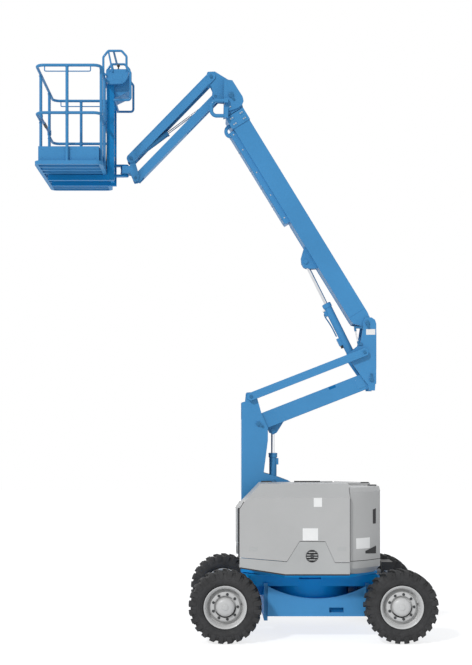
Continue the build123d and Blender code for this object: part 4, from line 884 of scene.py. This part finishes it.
def boom_details():
    kit = Kit()
    for u in (2668, 2740):
        for n0, n1 in ((-120, -72), (5, 52)):
            BOOM.side_boxes(kit, u, u + 40, n0, n1, 134, 137)
    kit.make("wear_pad_plates", "blue", "primary_boom", bevel=0.001)
    kit = BOOM.side_nuts(Kit(), (2688, 2760), (-108, -84, 17, 40), 137, 0.0055, 0.005)
    for u in (2680, 2724, 2768):
        for y in (-70, 70):
            kit.nut(BOOM.p(u, 78, y), BOOM.n, 0.0065, 0.006)
    kit.make("wear_pad_bolts", "zinc", "primary_boom")
    kit = BOOM.side_boxes(Kit(), 2786, 2800, -90, 20, 108.6, 118.6)
    kit.make("wear_pads", "black", "primary_boom", bevel=0.001)
    # Weld runs at the collar, along the corners, at the cylinder's lug and the heel's cheeks.
    kit = BOOM.side_beads(
        Kit(), (2648, -150, 2648, 76, 125.5, 0.004), (95, 68.5, 2640, 68.5, 118, 0.0028),
        (95, -137.5, 1400, -137.5, 118, 0.0028), (815, -138, 1110, -138, 51, 0.004),
        (152, -130, 152, 62, 125.3, 0.0026))
    kit.make("boom_welds", "blue", "primary_boom")
    # Covers and bolts of the hose tray.
    covers, bolts = Kit(), Kit()
    for k in range(TRAY_COVERS):
        u = TRAY_U + k * TRAY_PITCH
        BOOM.box(covers, u, u + 226, -203, -199, -86, 86)
        for du in (18, 208):
            for y in (-70, 70):
                bolts.nut(BOOM.p(u + du, -203, y), -BOOM.n, 0.005, 0.004)
    BOOM.side_nuts(bolts, (1500, 1800, 2100, 2400, 2600), (-168,), 95, 0.0055, 0.005)
    covers.make("tray_covers", "blue", "primary_boom", bevel=0.0012)
    bolts.make("tray_bolts", "zinc", "primary_boom")
    # Nose of the extension: welds, inspection cover on the near side and its bolts.
    kit = BOOM.side_beads(Kit(), (2812, -116, 2812, 46, 128.6, 0.0035))
    kit.make("nose_welds", "blue", "extension")
    kit = BOOM.box(Kit(), 2870, 2950, -95, -35, -147, -143)
    kit.make("nose_cover", "blue", "extension", bevel=0.0015)
    kit = Kit()
    for u in (2878, 2942):
        for n in (-87, -43):
            kit.nut(BOOM.p(u, n, -147), (0, -1, 0), 0.005, 0.004)
    kit.make("nose_cover_bolts", "zinc", "extension")


# ------------------------------ lift and riser cylinders
def cylinder_details():
    kit = LIFT.sleeve(Kit(), 676, 690, 0.0206, 0.047)
    LIFT.sleeve(kit, 60, 72, 0.044, 0.049)
    kit.make("lift_gland", "blue", "lift_barrel", bevel=0.0012)
    kit = LIFT.ring_nuts(Kit(), 690, 34)
    for u in (560, 620):
        kit.cyl(LIFT.p(u, -50, 0), LIFT.p(u, -72, 0), 0.011, 18)
    kit.nut(LIFT.p(255, -62, 20), (0, 1, 0), 0.012, 0.016, False)
    kit.make("lift_ports", "zinc", "lift_barrel")
    kit = Kit().cyl(LIFT.p(195, -56, 0), LIFT.p(150, -56, 0), 0.015, 24)
    kit.make("lift_valve_coil", "black", "lift_barrel", bevel=0.0008)
    guides = ((590, -72), (560, -78), (480, -64), (380, -58), (300, -60))
    hose("lift_feed_hose", [LIFT.p(u, n, 0) for u, n in guides], 0.0075, "lift_barrel", "pin_blue")
    kit = LIFTER.sleeve(Kit(), 300, 316, 0.0215, 0.0505)
    kit.make("riser_gland", "blue", "riser_barrel", bevel=0.0012)
    kit = LIFTER.ring_nuts(Kit(), 316, 36)
    kit.make("riser_gland_bolts", "zinc", "riser_barrel")


# ------------------------------ riser and knuckle
def riser_details():
    far = RISER_LENGTH
    kit = RISER.side_beads(
        Kit(), (60, 92.5, far - 60, 92.5, 118, 0.0028), (60, -82.5, far - 60, -82.5, 118, 0.0028),
        (56, -70, 56, 84, 125.3, 0.003), (far - 56, -70, far - 56, 84, 125.3, 0.003))
    kit.make("lower_arm_welds", "blue", "lower_arm")
    kit = RISER.side_boxes(Kit(), 80, 180, -52, 60, 125, 128)
    kit.make("lower_arm_plates", "blue", "lower_arm", bevel=0.0015)
    # Painted shade for a hand hole in each side of the arm: a thin dark plate on its side.
    kit = Kit()
    d = at(276, 0, 2760) - RISER.o
    u, n = d.dot(RISER.u) * 1000, d.dot(RISER.n) * 1000
    RISER.side_boxes(kit, u - 40, u + 40, n - 17, n + 17, 125.2, 126.0)
    kit.make("riser_hand_hole_shades", "blue_painted_shade", "lower_arm", bevel=0.0004)
    # Knuckle: weld runs and a blank plate on each side.
    kit = Kit()
    for s in SIDES:
        kit.bead(at(768, s * 150.5, 2965), at(768, s * 150.5, 3375), 0.003)
    kit.make("knuckle_welds", "blue", "mid_knuckle")
    kit = Kit().side_box(tx(655), tx(758), 0.1501, 0.1512, 3.35, 3.413)
    kit.make("knuckle_blank_plates", "white_label", "mid_knuckle", bevel=0.0004)
    # Slim level cylinder beside the boom's heel, held by a tab at each end.
    kit = Kit().cyl(at(535, -158, 3392), at(563, -158, 3266), 0.0085, 18)
    kit.make("level_rod", "chrome", "mid_knuckle")
    kit = Kit().cyl(at(529, -158, 3418), at(536, -158, 3386), 0.0125, 18)
    kit.cyl(at(561, -158, 3276), at(567, -158, 3248), 0.0125, 18)
    kit.box(at(560, -164, 3232), at(612, -150, 3260))
    kit.box(at(518, -164, 3418), at(612, -150, 3442))
    kit.make("level_rod_ends", "pin_blue", "mid_knuckle", bevel=0.0008)


# ------------------------------ covers, sills and tail
COVER_OUT = 0.8702  # just outside the covers' outer faces
COVER_FRONT = tx(-787)
VENT = (-15, 870, 935)
TAIL_IN, TAIL_OUT = 0.9196, 0.9212  # radii of a thin plate on the round tail
TAIL_X = (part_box("tail_cover")[1][0] - X0) * 1000


def tail_patch(kit, side, x0, x1, low, high, r=TAIL_OUT, n=10):
    """A thin curved plate on the tail between two x; low and high give z at each end, in millimetres."""
    pts = []
    for k in range(n + 1):
        t = k / n
        x = (x0 + (x1 - x0) * t) / 1000
        for radius in (TAIL_IN, r):
            for z in (low[0] + (low[1] - low[0]) * t, high[0] + (high[1] - high[0]) * t):
                pts.append((X0 + x, side * math.sqrt(radius * radius - x * x), z / 1000))
    faces = []
    for k in range(n):
        a = 4 * k
        faces += [(a + 2, a + 3, a + 7, a + 6), (a, a + 2, a + 6, a + 4), (a + 3, a + 1, a + 5, a + 7)]
    faces += [(0, 1, 3, 2), (4 * n, 4 * n + 2, 4 * n + 3, 4 * n + 1)]
    return kit._add(pts, faces)


def side_details(s, name):
    body = f"cover_{name}"
    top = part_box(f"cover_{name}")[1][2]
    # Rubber strip on the cover's front edge and round the bend above it.
    y0, y1 = across(s, COVER_OUT, 0.845)
    # On the right cover the strip is a thin black skin over the front face: partly rubber, partly painted shade on
    # that face.
    wide = 0.015 if s < 0 else 0.003
    kit = Kit().box((COVER_FRONT - wide, y0, 0.925), (COVER_FRONT + 0.0005, y1, top - 0.252))
    kit.make(f"edge_rubber_{name}", "rubber", body, bevel=0.0015)
    a, b = Vector((COVER_FRONT, 0, top - 0.268)), Vector((tx(-735), 0, top - 0.19))
    d = (b - a).normalized()
    n = Vector((-d.z, 0, d.x))
    bend = [p + n * w + Vector((0, y, 0)) for p in (a, b) for w in (0.0005, 0.009) for y in (y0, y1)]
    Kit()._add(bend, CUBE).make(f"bend_rubber_{name}", "rubber", body, bevel=0.002)
    # Seals on the inner edge of the top, and a raised hinge cover.
    y0, y1 = across(s, 0.302, 0.318)
    kit = Kit()
    for xa, xb in ((-534, -417), (-167, 122)):
        kit.box((tx(xa), y0, top - 0.001), (tx(xb), y1, top + 0.012))
    kit.make(f"top_seals_{name}", "rubber", body, bevel=0.002)
    y0, y1 = across(s, 0.302, 0.36)
    kit = Kit().box((tx(124), y0, top - 0.001), (tx(256), y1, top + 0.01))
    kit.make(f"hinge_hood_{name}", "grey_cover", body, bevel=0.004)
    # Two flush latches, and blank plates high and low on the cover.
    y0, y1 = across(s, 0.8701, 0.8721)
    kit = Kit()
    for x in (-640, 300):
        kit.box((tx(x) - 0.045, y0, 0.99), (tx(x) + 0.045, y1, 1.03))
    kit.make(f"latch_frames_{name}", "grey_steel", body, bevel=0.0008)
    y0, y1 = across(s, COVER_OUT, COVER_OUT + 0.0006)
    kit = Kit().box((tx(2.5), y0, top - 0.24), (tx(91), y1, top - 0.144))
    kit.box((tx(-115), y0, 1.102), (tx(49), y1, 1.232))
    kit.make(f"cover_blank_plates_{name}", "white_label", body, bevel=0.0002)
    # Sill: rubber strip along its foot, and the round vent's ring with its boss and spokes.
    y0, y1 = across(s, COVER_OUT, 0.862)
    strip = [(-787, 0.803), (-300, 0.728), (388, 0.728), (388, 0.743), (-300, 0.743), (-787, 0.818)]
    kit = Kit().slab([(tx(x), z) for x, z in strip], "y", y0, y1)
    kit.make(f"sill_rubber_{name}", "rubber", "turntable", bevel=0.0008)
    c, way = at(VENT[0], s * VENT[1], VENT[2]), Vector((0, s, 0))
    kit = Kit().spin([(0.0005, 0.061), (0.003, 0.062), (0.004, 0.0645), (0.003, 0.067), (0.0005, 0.0675)], c, way, 48)
    kit.spin([(0.001, 0.0), (0.004, 0.002), (0.005, 0.015), (0.001, 0.018)], c, way, 24)
    for k in range(4):
        t = math.pi * (k + 0.5) / 2
        u, v = Vector((math.cos(t), 0, math.sin(t))), Vector((-math.sin(t), 0, math.cos(t)))
        kit._add([c + u * a + v * b + way * w
                  for a in (0.016, 0.062) for b in (-0.002, 0.002) for w in (0.0008, 0.0025)], CUBE)
    kit.make(f"vent_ring_{name}", "dark_steel", "turntable")
    # Tail: dark joint and two vents, blank plate, seal in the gap beside the cover.
    kit = tail_patch(Kit(), s, 395, TAIL_X, (872, 872), (878, 878))
    tail_patch(kit, s, 664, 703, (1262, 1262), (1415, 1428))
    tail_patch(kit, s, 572, 705, (948, 936), (975, 1022))
    kit.make(f"tail_vents_{name}", "rubber", "turntable")
    kit = tail_patch(Kit(), s, 464, 627, (1003, 1003), (1118, 1118), 0.9208)
    kit.make(f"tail_blank_plate_{name}", "white_label", "turntable")
    y0, y1 = across(s, 0.868, 0.84)
    kit = Kit().box((tx(388.6), y0, 0.882), (tx(393.4), y1, 1.545))
    kit.make(f"tail_gap_seal_{name}", "rubber", "turntable")


def cover_details():
    # Painted shade: a dark plate just inside the mouth of each of the two pockets in the chassis's sides.
    kit = Kit().side_box(tx(199.5), tx(355.5), 0.517, 0.519, 0.2875, 0.3405)
    kit.make("pocket_shade_plates", "blue_painted_shade", "chassis", bevel=0.0004)
    for s, name in SIDE_NAMES:
        side_details(s, name)
    kit = Kit().side_box(tx(650), tx(TAIL_X - 12), 0.302, 0.318, 1.6585, 1.672)
    kit.make("tail_top_seals", "rubber", "turntable", bevel=0.002)


make_camera()
make_world()
bpy.context.scene.view_settings.view_transform = "Standard"
lamp("key", "SUN", 1.62, (-6, -9, 10), (0, 0, 2), 6)
lamp("fill", "AREA", 50, (3, -12, 2), (0, 0, 3), 5)
make_materials()
dress_nodes()
make_floor()
wheels()
pins()
platform_details()
console_details()
jib_details()
boom_details()
cylinder_details()
riser_details()
cover_details()
